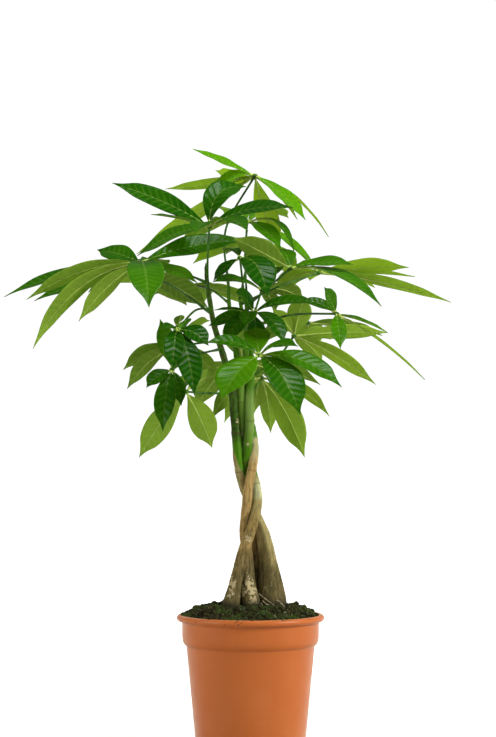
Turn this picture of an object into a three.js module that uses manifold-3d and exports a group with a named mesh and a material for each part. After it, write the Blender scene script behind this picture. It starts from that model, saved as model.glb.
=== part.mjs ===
// Potted money tree: four plaited stems of one species, grown together in a terracotta-coloured
// nursery pot, each stem carrying long-stalked leaves of three to nine leaflets round a hub.
//
// Millimetres, +Z up. The origin is the centre of the pot's base, on the surface it stands on.
// The front of the plant faces -Y, and +X is to the right of someone who looks at the front.

import * as THREE from 'three';
import { mergeVertices } from 'three/addons/utils/BufferGeometryUtils.js';
import Module from 'manifold-3d';

const wasm = await Module();
wasm.setup();

// Driving dimensions of the pot, a 17 cm nursery pot
const POT_HEIGHT = 155.5;
const BASE_RADIUS = 63;
const BODY_TOP_RADIUS = 74.1;
const BAND_RADIUS = 79.2;
const BAND_BOTTOM = 119.5;
const BAND_FOOT = 6;
const BAND_UNDERCUT = 1.6;
const EDGE_ROUND = 1.2;
const LIP_RADIUS = 85.3;
const LIP_ROLL = 3.9;
const WALL = 1.6;
const FLOOR = 2.4;
const DRAIN_COUNT = 6;
const DRAIN_SIDES = 8;
const DRAIN_RADIUS = 5;
const DRAIN_CIRCLE = 38;
const FACETS = 32;

// Gap kept between pieces that touch
const GAP = 0.3;

// Soil, heaped a little above the pot's lip round the stems
const SOIL_EDGE = 153;
const SOIL_HEAP = 11.5;
const SOIL_SHOULDER = 6;
const SOIL_LUMP = 1.8;
const SOIL_SHARES = [0.28, 0.54, 0.74, 0.89, 1];

// A Lehmer generator for the soil's lumps
const SEED = 7;
const MULTIPLIER = 16807;
const MODULUS = 2 ** 31 - 1;

// Stems
const STEM_SIDES = 8;
const STEM_STEPS = 26;
const HALVINGS = 30;

// Leaf stalks, swollen where they leave the stem, and the hubs at their ends
const PETIOLE_RADIUS = 1.3;
const PETIOLE_FOOT = 1.7;
const PETIOLE_FOOT_END = 0.3;
const PETIOLE_SIDES = 5;
const PETIOLE_STEPS = 4;
const HUB_RADIUS = 4.6;

// Leaflets: thickness of the blade and of the stalk it starts as, depth of the rib under it, and how
// far its edges rise as a share of its half width. Each starts a little outside the hub's centre.
const ROOT = 2.2;
const BLADE = 0.8;
const STALK = 2;
const STALK_SHARE = 0.1;
const RIB = 0.6;
const FOLD = 0.16;
const CROWN = 0.45;
const BLADE_STATIONS = [0, 0.14, 0.36, 0.62, 0.86, 1];

// A leaflet's outline: how far past the middle it is widest, how full it is, and the drip tip
const WIDEST = 1.22;
const ROUNDNESS = 0.9;
const DRIP_FROM = 0.78;
const DRIP_TO = 0.97;
const DRIP = 0.45;
const LEAST_HALF_WIDTH = 1;

// The four stems, from the root stub in the soil to the growing tip. Each point is x, y, z and the
// stem's radius there. They cross in front of and behind one another as they were plaited when young.
const STEMS = {
  stem_left: [
    [-24, -10, 136, 7], [-22.5, -10, 163, 10.6], [-18, -10, 187, 8], [-13, -11, 209, 6.2],
    [-7, -11.5, 231, 5.5], [-1, -12, 248, 5], [3, -11.5, 261, 4.9], [6.5, -8, 274, 5.2], [8, -3, 288, 5.4],
    [7, 4, 301, 5.2], [3, 9.5, 317, 4.9], [-3, 10.5, 333, 4.8], [-7.6, 7.5, 352, 4.7], [-9.4, 2, 370, 4.5],
    [-9.8, -1.5, 391, 4.4], [-10.8, -2, 412, 4.3], [-14.5, 0, 443, 3.6], [-20, 5, 478, 3],
    [-24.5, 9, 512, 2.4], [-26, 11, 543, 2],
  ],
  stem_middle: [
    [0, -6, 136, 8], [0, -6, 163, 11.8], [-2.5, -3, 187, 9], [-3.5, 0, 206, 6.8],
    [-4, 2, 222, 5.6], [-5.5, 2.5, 236, 5.1], [-7, 0, 251, 5], [-6, -4, 267, 5], [-4.5, -7, 283, 5.2],
    [-3.2, -8, 299, 5.3], [-0.5, -8, 313, 5.3], [2.2, -6.5, 327, 5.2], [4, -2, 343, 4.9], [3.2, 4, 358, 4.6],
    [0, 7.5, 374, 4.4], [-3.5, 6, 392, 4.2], [-5.5, 3.5, 410, 4.1], [-6, 0, 440, 3.6], [-5, -3, 467, 3.1],
    [-4, -6, 495, 2.5], [-4, -7, 521, 2],
  ],
  stem_right: [
    [27, 2, 134, 11], [26, 2, 163, 15.2], [23, 4, 193, 12.4], [20, 5, 217, 9.4],
    [17, 5, 236, 8.6], [14.2, 4.5, 250, 7.3], [9.5, 6.5, 263, 5.9], [4, 9, 277, 5.2], [-3, 7.5, 290, 5],
    [-8.5, 2.5, 303, 5], [-12, -3, 317, 5], [-14.5, -5, 332, 5], [-15.5, -5.5, 348, 4.8],
    [-17, -5, 368, 4.6], [-19, -5, 389, 4.5], [-20.5, -5, 411, 4.4], [-26.5, -8, 437, 4],
    [-35, -12, 466, 3.6], [-42.5, -15, 492, 3.3],
    [-47, -17, 518, 2.9], [-50, -18, 539, 2.5], [-51.5, -18, 561, 2],
  ],
  stem_back: [
    [12, 17, 136, 7], [11, 17, 163, 9.3], [8, 15.5, 192, 7], [7, 14.5, 222, 5.9],
    [4, 14.5, 250, 5.1], [1, 17, 272, 4.9], [-1, 17.5, 292, 4.8], [-4.5, 14, 305, 4.8], [-7, 7, 315, 4.7],
    [-7, 1, 324, 4.6], [-5, -3.5, 337, 4.6], [-2.6, -6.5, 355, 4.6], [-1, -7, 373, 4.6], [-0.9, -6, 391, 4.5],
    [-1, -4, 408, 4.4], [1.5, 1, 435, 3.7], [-1, 9, 466, 3.1], [-8, 15, 497, 2.5], [-13, 19, 523, 2],
  ],
};

// The leaves. Each grows from a stem at the height "from", its stalk passes "by" a point on its way
// to the hub, and its upper side "faces" a direction. A leaflet's line gives the place of its tip,
// its width, and how high it arches as a share of its length. Some leaflets face another way.
const LEAVES = [
  {
    name: 'leaf_left_front', stem: 'stem_right', from: 538, by: [-88, -32, 553], hub: [-126, -25, 561],
    faces: [0, 0.15, 1],
    leaflets: [
      { tip: [-256, -40, 518], wide: 22, arch: 0.08, faces: [-0.2, 0.8, 0.6] },
      { tip: [-246, -70, 462], wide: 26, arch: 0.13, faces: [-0.3, 0.8, 0.7] },
      { tip: [-195, -60, 493], wide: 24, arch: 0.06, faces: [-0.3, 0.8, 0.5] },
      { tip: [-112, -150, 507], wide: 42, arch: 0.12, faces: [0, -0.3, 1] },
      { tip: [-60, -85, 536], wide: 28, arch: 0.04, faces: [0.2, -0.5, 1] },
      { tip: [-7, -5, 588], wide: 33, arch: 0.045, faces: [-0.1, -0.7, 0.7] },
      { tip: [-98, 75, 562], wide: 28, arch: 0.04, faces: [0, -0.4, 1] },
      { tip: [-179, 30, 578], wide: 27, arch: 0.03, faces: [0, -0.8, 0.6] },
    ],
  },
  {
    name: 'leaf_left_back', stem: 'stem_right', from: 502, by: [-90, 10, 535], hub: [-129, 35, 552],
    faces: [0, 0.25, 1],
    leaflets: [
      { tip: [-290, 60, 524], wide: 30, arch: 0.08, faces: [0, -0.5, 1] },
      { tip: [-251, 12, 518], wide: 32, arch: 0.05, faces: [0, -0.5, 1] },
      { tip: [-193, 90, 530], wide: 28, arch: 0.06 },
      { tip: [-137, 125, 570], wide: 32, arch: 0.06 },
      { tip: [-76, 110, 515], wide: 36, arch: 0.05, faces: [0, 0.7, 0.8] },
      { tip: [-50, 70, 511], wide: 34, arch: 0.05, faces: [0, 0.7, 0.8] },
    ],
  },
  {
    name: 'leaf_upper_left', stem: 'stem_right', from: 530, by: [-49, -40, 562], hub: [-47, -45, 601],
    faces: [0, -0.2, 1],
    leaflets: [
      { tip: [-157, -60, 650], wide: 29, arch: 0.035, faces: [0.2, -0.8, 0.6] },
      { tip: [-112, -85, 613], wide: 22, arch: 0.03 },
      { tip: [-132, 30, 571], wide: 28, arch: 0.06, faces: [-0.2, -0.8, 0.8] },
      { tip: [-62, -110, 590], wide: 24, arch: 0.12 },
      { tip: [-3, -130, 592], wide: 30, arch: 0.12 },
      { tip: [48, -75, 621], wide: 28, arch: 0.09, faces: [0.1, -0.6, 0.8] },
      { tip: [-5, -10, 649], wide: 34, arch: 0.26, faces: [-0.1, -0.7, 0.7] },
    ],
  },
  {
    name: 'leaf_top', stem: 'stem_left', from: 535, by: [-29, 19, 600], hub: [5, 20, 664],
    faces: [0, -0.1, 1],
    leaflets: [
      { tip: [-67, 20, 695], wide: 24, arch: 0, faces: [0.2, -0.4, 1] },
      { tip: [-40, 10, 639], wide: 24, arch: 0.22, faces: [-0.1, -0.5, 0.9] },
      { tip: [-41, 60, 673], wide: 26, arch: -0.1, faces: [0, 0.7, 0.7] },
      { tip: [63, -25, 610], wide: 28, arch: 0.05, faces: [0.5, -0.6, 0.8] },
      { tip: [91, 25, 593], wide: 20, arch: 0.09, faces: [0.6, 0, 0.8] },
      { tip: [55, 40, 614], wide: 26, arch: 0.05 },
      { tip: [34, 70, 580], wide: 28, arch: -0.04, faces: [0.3, 0.8, 0.3] },
      { tip: [-100, 60, 651], wide: 18, arch: -0.02, faces: [0, 0.6, 0.8] },
      { tip: [-134, 52, 574], wide: 22, arch: 0, faces: [-0.3, 0.7, 0.6] },
    ],
  },
  {
    name: 'leaf_upper_back', stem: 'stem_middle', from: 514, by: [-6, 24, 565], hub: [-4, 45, 611],
    faces: [0, 0.1, 1],
    leaflets: [
      { tip: [51, 15, 573], wide: 18, arch: 0.26, faces: [0.5, -0.3, 0.8] },
      { tip: [35, -30, 576], wide: 24, arch: 0.08, faces: [0.2, -0.7, 0.7] },
      { tip: [46, 150, 622], wide: 34, arch: 0.08 },
      { tip: [-32, 152, 628], wide: 34, arch: 0.08 },
      { tip: [-86, 118, 586], wide: 32, arch: 0.08 },
    ],
  },
  {
    name: 'leaf_right_front', stem: 'stem_middle', from: 510, by: [14, -20, 527], hub: [46, -40, 554],
    faces: [0, 0, 1],
    leaflets: [
      { tip: [-20, -66, 588], wide: 34, arch: 0.01, faces: [0.3, 0.8, 0.6] },
      { tip: [37, -2, 578], wide: 22, arch: 0.06, faces: [0, -0.5, 0.9] },
      { tip: [116, -70, 557], wide: 26, arch: 0.06, faces: [0, -0.5, 0.9] },
      { tip: [146, -110, 509], wide: 34, arch: 0.11, faces: [0.3, -0.3, 1] },
      { tip: [100, 8, 566], wide: 26, arch: 0.03 },
    ],
  },
  {
    name: 'leaf_right_back', stem: 'stem_back', from: 514, by: [30, -4, 533], hub: [79, 30, 551],
    faces: [0, 0.1, 1],
    leaflets: [
      { tip: [184, 18, 557], wide: 30, arch: 0.025, faces: [0, 0.6, 0.8] },
      { tip: [194, 66, 548], wide: 28, arch: 0.02 },
      { tip: [232, 0, 516], wide: 21, arch: 0.035, faces: [0.1, 0.6, 0.9] },
      { tip: [150, 140, 537], wide: 36, arch: 0.05 },
      { tip: [72, 150, 546], wide: 34, arch: 0.06 },
      { tip: [31, 78, 529], wide: 30, arch: 0.12, faces: [0, 0.5, 0.9] },
      { tip: [21, 85, 608], wide: 15, arch: 0.05, faces: [0.2, -0.5, 0.9] },
    ],
  },
  {
    name: 'leaf_right_small', stem: 'stem_middle', from: 483, by: [45, -68, 500], hub: [96, -95, 501],
    faces: [0, -0.3, 1],
    leaflets: [
      { tip: [82, -118, 530], wide: 18, arch: 0.04, faces: [0.3, -0.9, 0.4] },
      { tip: [57, -82, 517], wide: 15, arch: 0.08, faces: [0, -0.7, 0.7] },
      { tip: [99, -150, 461], wide: 18, arch: 0.06, faces: [0.1, -0.8, 0.6] },
      { tip: [155, -76, 480], wide: 18, arch: 0.04 },
      { tip: [195, -105, 427], wide: 14, arch: 0.04, faces: [0.7, 0.1, 0.8] },
    ],
  },
  {
    name: 'leaf_right_middle', stem: 'stem_back', from: 430, by: [30, -2, 450], hub: [50, -15, 477],
    faces: [0.1, 0.85, 0.5],
    leaflets: [
      { tip: [25, -38, 508], wide: 18, arch: 0.04 },
      { tip: [62, -45, 521], wide: 28, arch: 0.04 },
      { tip: [159, 0, 481], wide: 20, arch: 0.02 },
      { tip: [143, -45, 421], wide: 20, arch: 0.045 },
      { tip: [84, 20, 446], wide: 20, arch: 0.08 },
      { tip: [95, 70, 474], wide: 26, arch: 0.05 },
    ],
  },
  {
    name: 'leaf_centre_back', stem: 'stem_back', from: 486, by: [5, 9, 506], hub: [13, 15, 531],
    faces: [0, 0, 1],
    leaflets: [
      { tip: [-43, -50, 538], wide: 22, arch: 0.08, faces: [0, -0.6, 0.8] },
      { tip: [63, 48, 520], wide: 26, arch: 0.1, faces: [0, 0.7, 0.8] },
      { tip: [36, 80, 560], wide: 26, arch: 0.1 },
      { tip: [30, 62, 506], wide: 20, arch: 0.1 },
    ],
  },
  {
    name: 'leaf_centre_upper', stem: 'stem_middle', from: 498, by: [-9, -32, 538], hub: [-12, -60, 565],
    faces: [0, -0.2, 1],
    leaflets: [
      { tip: [19, -118, 519], wide: 38, arch: 0.18, faces: [0.2, -0.7, 0.7] },
      { tip: [-42, -62, 539], wide: 18, arch: 0.06, faces: [-0.3, -0.6, 0.8] },
      { tip: [-28, 2, 572], wide: 22, arch: 0.12 },
    ],
  },
  {
    name: 'leaf_centre_low', stem: 'stem_middle', from: 463, by: [-3, -26, 485], hub: [3, -50, 503],
    faces: [0, -0.3, 1],
    leaflets: [
      { tip: [75, -80, 513], wide: 20, arch: 0.1, faces: [0, -0.6, 0.8] },
      { tip: [38, -110, 466], wide: 26, arch: 0.14, faces: [0.3, -0.6, 0.8] },
      { tip: [-17, -76, 525], wide: 26, arch: 0.1, faces: [0, -0.8, 0.6] },
      { tip: [-6, -98, 486], wide: 20, arch: 0.12 },
      { tip: [-41, -60, 506], wide: 12, arch: 0.05 },
      { tip: [-30, -62, 470], wide: 22, arch: 0.08, faces: [0, -0.8, 0.5] },
      { tip: [8, -42, 462], wide: 22, arch: 0.05, faces: [0, -0.8, 0.5] },
      { tip: [-48, -38, 488], wide: 20, arch: 0.05, faces: [0, -0.7, 0.7] },
    ],
  },
  {
    name: 'leaf_front', stem: 'stem_left', from: 430, by: [-2, -64, 443], hub: [9, -120, 454],
    faces: [0, -0.5, 0.9],
    leaflets: [
      { tip: [-50, -136, 468], wide: 22, arch: 0.12, faces: [-0.1, -0.6, 0.8] },
      { tip: [-32, -170, 406], wide: 44, arch: 0.08, faces: [-0.3, -0.8, 0.6] },
      { tip: [54, -185, 389], wide: 40, arch: 0.11, faces: [0.2, -0.8, 0.6] },
      { tip: [100, -160, 419], wide: 32, arch: 0.11, faces: [0.2, -0.6, 0.8] },
      { tip: [52, -154, 464], wide: 24, arch: 0.12 },
      { tip: [5, -62, 486], wide: 30, arch: 0.06, faces: [0, -0.7, 0.7] },
    ],
  },
  {
    name: 'leaf_low_back', stem: 'stem_back', from: 405, by: [6, 28, 418], hub: [13, 55, 428],
    faces: [0, 0.9, 0.5],
    leaflets: [
      { tip: [24, 78, 363], wide: 20, arch: 0.08 },
      { tip: [63, 20, 336], wide: 32, arch: 0.06 },
      { tip: [93, 50, 383], wide: 20, arch: 0.12, faces: [0.2, 0.7, 0.7] },
      { tip: [4, 112, 385], wide: 24, arch: 0.12 },
      { tip: [-31, 74, 375], wide: 18, arch: 0.1 },
      { tip: [-45, 5, 380], wide: 22, arch: 0.14 },
    ],
  },
  {
    name: 'leaf_left_low', stem: 'stem_right', from: 462, by: [-64, -42, 454], hub: [-89, -70, 438],
    faces: [-0.2, -0.8, 0.5],
    leaflets: [
      { tip: [-102, -88, 495], wide: 22, arch: 0.05 },
      { tip: [-117, -92, 418], wide: 20, arch: 0.08 },
      { tip: [-98, -110, 369], wide: 25, arch: 0.12 },
      { tip: [-78, -88, 397], wide: 16, arch: 0.1 },
      { tip: [-66, -16, 448], wide: 20, arch: 0.08, faces: [-0.2, 0.2, 1] },
    ],
  },
  {
    name: 'leaf_left_middle', stem: 'stem_right', from: 508, by: [-62, -50, 506], hub: [-82, -100, 483],
    faces: [0.1, -0.7, 0.7],
    leaflets: [
      { tip: [-97, -126, 484], wide: 13, arch: 0.1 },
      { tip: [-77, -124, 499], wide: 12, arch: 0.1 },
      { tip: [-47, -118, 465], wide: 26, arch: 0.12 },
      { tip: [-62, -150, 410], wide: 29, arch: 0.1 },
      { tip: [-86, -146, 438], wide: 24, arch: 0.14 },
    ],
  },
  {
    name: 'leaf_low_left', stem: 'stem_right', from: 411, by: [-48, -14, 411], hub: [-74, -30, 413],
    faces: [0.1, 0.9, 0.4],
    leaflets: [
      { tip: [-44, -38, 349], wide: 33, arch: 0.03 },
      { tip: [-127, -48, 338], wide: 30, arch: 0.03 },
      { tip: [-34, 14, 432], wide: 22, arch: 0.08 },
      { tip: [-100, 60, 402], wide: 28, arch: 0.14, faces: [0, 0, 1] },
    ],
  },
  {
    name: 'leaf_left_behind', stem: 'stem_left', from: 470, by: [-50, 10, 470], hub: [-84, 10, 465],
    faces: [-0.1, 0.7, 0.7],
    leaflets: [
      { tip: [-148, 18, 438], wide: 24, arch: 0.1 },
      { tip: [-142, -12, 416], wide: 26, arch: 0.1 },
      { tip: [-75, 72, 498], wide: 24, arch: 0.08 },
      { tip: [-48, 58, 496], wide: 26, arch: 0.08 },
      { tip: [-38, 32, 426], wide: 20, arch: 0.1 },
    ],
  },
  {
    name: 'leaf_rear_left', stem: 'stem_left', from: 515, by: [-46, 60, 532], hub: [-70, 112, 540],
    faces: [0, 0.3, 1],
    leaflets: [
      { tip: [-170, 130, 542], wide: 34, arch: 0.04 },
      { tip: [-125, 210, 528], wide: 38, arch: 0.06 },
      { tip: [-58, 228, 520], wide: 38, arch: 0.07 },
      { tip: [6, 175, 512], wide: 32, arch: 0.06 },
      { tip: [-8, 96, 522], wide: 24, arch: 0.05 },
    ],
  },
  {
    name: 'leaf_rear_right', stem: 'stem_back', from: 490, by: [38, 62, 496], hub: [68, 96, 494],
    faces: [0, 0.3, 1],
    leaflets: [
      { tip: [158, 118, 479], wide: 30, arch: 0.04 },
      { tip: [130, 196, 484], wide: 36, arch: 0.04 },
      { tip: [72, 222, 450], wide: 38, arch: 0.1 },
      { tip: [14, 162, 470], wide: 32, arch: 0.08 },
    ],
  },
  {
    name: 'leaf_rear_low', stem: 'stem_back', from: 440, by: [2, 62, 452], hub: [-8, 112, 446],
    faces: [0, 0.5, 1],
    leaflets: [
      { tip: [-97, 132, 410], wide: 32, arch: 0.08 },
      { tip: [-68, 196, 388], wide: 36, arch: 0.1 },
      { tip: [2, 222, 384], wide: 38, arch: 0.1 },
      { tip: [60, 186, 402], wide: 34, arch: 0.1 },
      { tip: [84, 126, 420], wide: 30, arch: 0.08 },
      { tip: [-30, 100, 500], wide: 32, arch: 0.06, faces: [0, 0.8, 0.5] },
    ],
  },
  {
    name: 'leaf_rear_top', stem: 'stem_back', from: 520, by: [-4, 66, 560], hub: [10, 108, 588],
    faces: [0, 0.3, 1],
    leaflets: [
      { tip: [58, 142, 558], wide: 28, arch: 0.06 },
      { tip: [46, 200, 554], wide: 34, arch: 0.08 },
      { tip: [10, 224, 544], wide: 36, arch: 0.08 },
      { tip: [-70, 182, 568], wide: 34, arch: 0.06 },
      { tip: [-64, 122, 592], wide: 26, arch: 0.03 },
    ],
  },
];

// Materials
const terracotta = new THREE.MeshStandardMaterial({ color: 0xc06a3a, roughness: 0.5, metalness: 0 });
const potting = new THREE.MeshStandardMaterial({ color: 0x2a2417, roughness: 1, metalness: 0 });
const bark = new THREE.MeshStandardMaterial({ color: 0x8a7449, roughness: 0.85, metalness: 0 });
const foliage = new THREE.MeshStandardMaterial({ color: 0x3f7d1c, roughness: 0.4, metalness: 0 });

function solidOf(geometry) {
  const bare = new THREE.BufferGeometry();
  bare.setAttribute('position', geometry.getAttribute('position'));
  if (geometry.index) bare.setIndex(geometry.index);
  const merged = mergeVertices(bare);
  return new wasm.Manifold(new wasm.Mesh({
    numProp: 3,
    vertProperties: new Float32Array(merged.attributes.position.array),
    triVerts: new Uint32Array(merged.index.array),
  }));
}

function geometryOf(solid) {
  const mesh = solid.getMesh();
  const geometry = new THREE.BufferGeometry();
  geometry.setAttribute('position', new THREE.BufferAttribute(mesh.vertProperties, 3));
  geometry.setIndex(new THREE.BufferAttribute(mesh.triVerts, 1));
  geometry.computeVertexNormals();
  return geometry;
}

function closedGeometry(points, triangles) {
  const geometry = new THREE.BufferGeometry();
  geometry.setAttribute('position', new THREE.Float32BufferAttribute(points.flatMap((p) => p.toArray()), 3));
  geometry.setIndex(triangles.flat());
  return geometry;
}

const vector = (xyz) => new THREE.Vector3(xyz[0], xyz[1], xyz[2]);

const smoothstep = (low, high, x) => {
  const t = THREE.MathUtils.clamp((x - low) / (high - low), 0, 1);
  return t * t * (3 - 2 * t);
};

// A closed tube. Each ring has a centre, a direction and a radius; the rings turn with the line and
// don't twist about it.
function tube(rings, sides) {
  const points = [];
  const triangles = [];
  const across = new THREE.Vector3(1, 0, 0);
  if (Math.abs(rings[0].along.x) > Math.SQRT1_2) across.set(0, 1, 0);
  rings.forEach(({ centre, along, radius }) => {
    across.addScaledVector(along, -across.dot(along)).normalize();
    const other = new THREE.Vector3().crossVectors(along, across);
    for (let side = 0; side < sides; side += 1) {
      const angle = (2 * Math.PI * side) / sides;
      points.push(centre.clone()
        .addScaledVector(across, radius * Math.cos(angle))
        .addScaledVector(other, radius * Math.sin(angle)));
    }
  });
  for (let ring = 0; ring + 1 < rings.length; ring += 1) {
    for (let side = 0; side < sides; side += 1) {
      const next = (side + 1) % sides;
      const a = ring * sides + side;
      const b = ring * sides + next;
      triangles.push([a, b, b + sides], [a, b + sides, a + sides]);
    }
  }
  const last = (rings.length - 1) * sides;
  for (let side = 1; side + 1 < sides; side += 1) {
    triangles.push([0, side + 1, side], [last, last + side, last + side + 1]);
  }
  return closedGeometry(points, triangles);
}

function stemCurves(points) {
  return {
    line: new THREE.CatmullRomCurve3(points.map(vector)),
    radius: new THREE.CatmullRomCurve3(points.map((p) => new THREE.Vector3(p[3], 0, 0))),
  };
}

function stemSolid(points, grown = 0) {
  const { line, radius } = stemCurves(points);
  const rings = Array.from({ length: STEM_STEPS + 1 }, (_, step) => {
    const t = step / STEM_STEPS;
    return { centre: line.getPoint(t), along: line.getTangent(t), radius: radius.getPoint(t).x + grown };
  });
  return solidOf(tube(rings, STEM_SIDES));
}

// The point of a stem's centre line at a height, found by halving.
function stemPointAt(points, height) {
  const { line } = stemCurves(points);
  let low = 0;
  let high = 1;
  for (let step = 0; step < HALVINGS; step += 1) {
    const middle = (low + high) / 2;
    if (line.getPoint(middle).z < height) low = middle;
    else high = middle;
  }
  return line.getPoint(low);
}

// Half the width of a leaflet at a share s of its length: a wedge at the stalk, widest past the
// middle, and drawn out to a drip tip.
function halfWidth(s, wide) {
  const oval = Math.max(0, Math.sin(Math.PI * s ** WIDEST)) ** ROUNDNESS;
  const drip = 1 - DRIP * smoothstep(DRIP_FROM, DRIP_TO, s);
  return Math.max((wide / 2) * oval * drip, LEAST_HALF_WIDTH);
}

// One leaflet: a thin arched blade folded a little along its rib, on a short thick stalk.
function leafletSolid(hub, leaflet, leafFaces) {
  const tip = vector(leaflet.tip);
  const faces = vector(leaflet.faces ?? leafFaces).normalize();
  const chord = tip.clone().sub(hub);
  const lift = new THREE.Vector3(0, 0, 1);
  lift.addScaledVector(chord, -lift.dot(chord) / chord.lengthSq()).normalize();
  const crown = hub.clone().lerp(tip, CROWN).addScaledVector(lift, 2 * leaflet.arch * chord.length());
  const root = hub.clone().addScaledVector(crown.clone().sub(hub).normalize(), ROOT);
  const line = new THREE.QuadraticBezierCurve3(root, crown, tip);
  const points = [];
  const triangles = [];
  BLADE_STATIONS.forEach((s) => {
    const centre = line.getPoint(s);
    const side = new THREE.Vector3().crossVectors(line.getTangent(s), faces).normalize();
    const normal = new THREE.Vector3().crossVectors(side, line.getTangent(s)).normalize();
    const half = halfWidth(s, leaflet.wide);
    const stalk = 1 - smoothstep(0, STALK_SHARE, s);
    const thick = BLADE + (STALK - BLADE) * stalk;
    const rise = FOLD * half * (1 - stalk);
    [[-half, rise, 0], [0, 0, RIB * (1 - s)], [half, rise, 0]].forEach(([offset, up, rib]) => {
      const middle = centre.clone().addScaledVector(side, offset).addScaledVector(normal, up);
      points.push(middle.clone().addScaledVector(normal, thick / 2));
      points.push(middle.addScaledVector(normal, -thick / 2 - rib));
    });
  });
  // In each station, points 0, 2, 4 are the upper left edge, rib and right edge; 1, 3, 5 are below.
  const row = 6;
  for (let station = 0; station + 1 < BLADE_STATIONS.length; station += 1) {
    const a = station * row;
    const b = a + row;
    [[0, 2], [2, 4]].forEach(([left, right]) => {
      triangles.push([a + left, a + right, b + right], [a + left, b + right, b + left]);
      triangles.push([a + left + 1, b + right + 1, a + right + 1]);
      triangles.push([a + left + 1, b + left + 1, b + right + 1]);
    });
    triangles.push([a, b, b + 1], [a, b + 1, a + 1]);
    triangles.push([a + 4, b + 5, b + 4], [a + 4, a + 5, b + 5]);
  }
  const end = (BLADE_STATIONS.length - 1) * row;
  triangles.push([0, 1, 3], [0, 3, 2], [2, 3, 5], [2, 5, 4]);
  triangles.push([end, end + 3, end + 1], [end, end + 2, end + 3]);
  triangles.push([end + 2, end + 5, end + 3], [end + 2, end + 4, end + 5]);
  return solidOf(closedGeometry(points, triangles));
}

// The leaf stalk, swollen where it leaves the stem.
function petioleSolid(leaf, hub) {
  const start = stemPointAt(STEMS[leaf.stem], leaf.from);
  const line = new THREE.CatmullRomCurve3([start, vector(leaf.by), hub]);
  const rings = Array.from({ length: PETIOLE_STEPS + 1 }, (_, step) => {
    const t = step / PETIOLE_STEPS;
    const foot = 1 - smoothstep(0, PETIOLE_FOOT_END, t);
    return {
      centre: line.getPoint(t),
      along: line.getTangent(t),
      radius: PETIOLE_RADIUS + (PETIOLE_FOOT - PETIOLE_RADIUS) * foot,
    };
  });
  return solidOf(tube(rings, PETIOLE_SIDES));
}

function leafSolid(leaf) {
  const hub = vector(leaf.hub);
  const knob = new THREE.OctahedronGeometry(HUB_RADIUS);
  knob.translate(hub.x, hub.y, hub.z);
  const pieces = leaf.leaflets.map((leaflet) => leafletSolid(hub, leaflet, leaf.faces));
  return wasm.Manifold.union([solidOf(knob), petioleSolid(leaf, hub), ...pieces]);
}

// A wall turned round the pot's axis, from a profile of [radius, height] pairs.
function turned(profile, facets) {
  const geometry = new THREE.LatheGeometry(profile.map(([r, z]) => new THREE.Vector2(r, z)), facets);
  geometry.rotateX(Math.PI / 2);
  return solidOf(geometry);
}

function innerRadius(z) {
  const bodyTop = BODY_TOP_RADIUS - WALL;
  if (z <= BAND_BOTTOM) return THREE.MathUtils.lerp(BASE_RADIUS - WALL, bodyTop, z / BAND_BOTTOM);
  const widening = smoothstep(BAND_BOTTOM, BAND_BOTTOM + BAND_FOOT, z);
  return THREE.MathUtils.lerp(bodyTop, BAND_RADIUS - WALL, widening);
}

function potSolid() {
  const lipCentre = POT_HEIGHT - LIP_ROLL;
  const rollRadius = LIP_RADIUS - LIP_ROLL;
  const roll = [-90, -45, 0, 45, 90].map((degrees) => {
    const angle = THREE.MathUtils.degToRad(degrees);
    return [rollRadius + LIP_ROLL * Math.cos(angle), lipCentre + LIP_ROLL * Math.sin(angle)];
  });
  const profile = [
    [0, 0], [BASE_RADIUS - EDGE_ROUND, 0], [BASE_RADIUS, EDGE_ROUND], [BODY_TOP_RADIUS, BAND_BOTTOM],
    [(BODY_TOP_RADIUS + BAND_RADIUS) / 2, BAND_BOTTOM + BAND_UNDERCUT],
    [BAND_RADIUS - BAND_UNDERCUT / 2, BAND_BOTTOM + BAND_FOOT],
    [BAND_RADIUS, BAND_BOTTOM + 2 * BAND_FOOT], [BAND_RADIUS, lipCentre - LIP_ROLL],
    ...roll,
    [innerRadius(POT_HEIGHT), lipCentre], [innerRadius(BAND_BOTTOM + BAND_FOOT), BAND_BOTTOM + BAND_FOOT],
    [innerRadius(BAND_BOTTOM), BAND_BOTTOM], [innerRadius(FLOOR), FLOOR], [0, FLOOR],
  ];
  const holes = Array.from({ length: DRAIN_COUNT }, (_, hole) => {
    const angle = (2 * Math.PI * hole) / DRAIN_COUNT;
    const drill = new THREE.CylinderGeometry(DRAIN_RADIUS, DRAIN_RADIUS, 4 * FLOOR, DRAIN_SIDES);
    drill.rotateX(Math.PI / 2);
    drill.translate(DRAIN_CIRCLE * Math.cos(angle), DRAIN_CIRCLE * Math.sin(angle), FLOOR / 2);
    return solidOf(drill);
  });
  return turned(profile, FACETS).subtract(wasm.Manifold.union(holes));
}

// A repeatable stream of numbers from 0 to 1.
function stream(seed) {
  let state = seed;
  return () => {
    state = (state * MULTIPLIER) % MODULUS;
    return state / MODULUS;
  };
}

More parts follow.
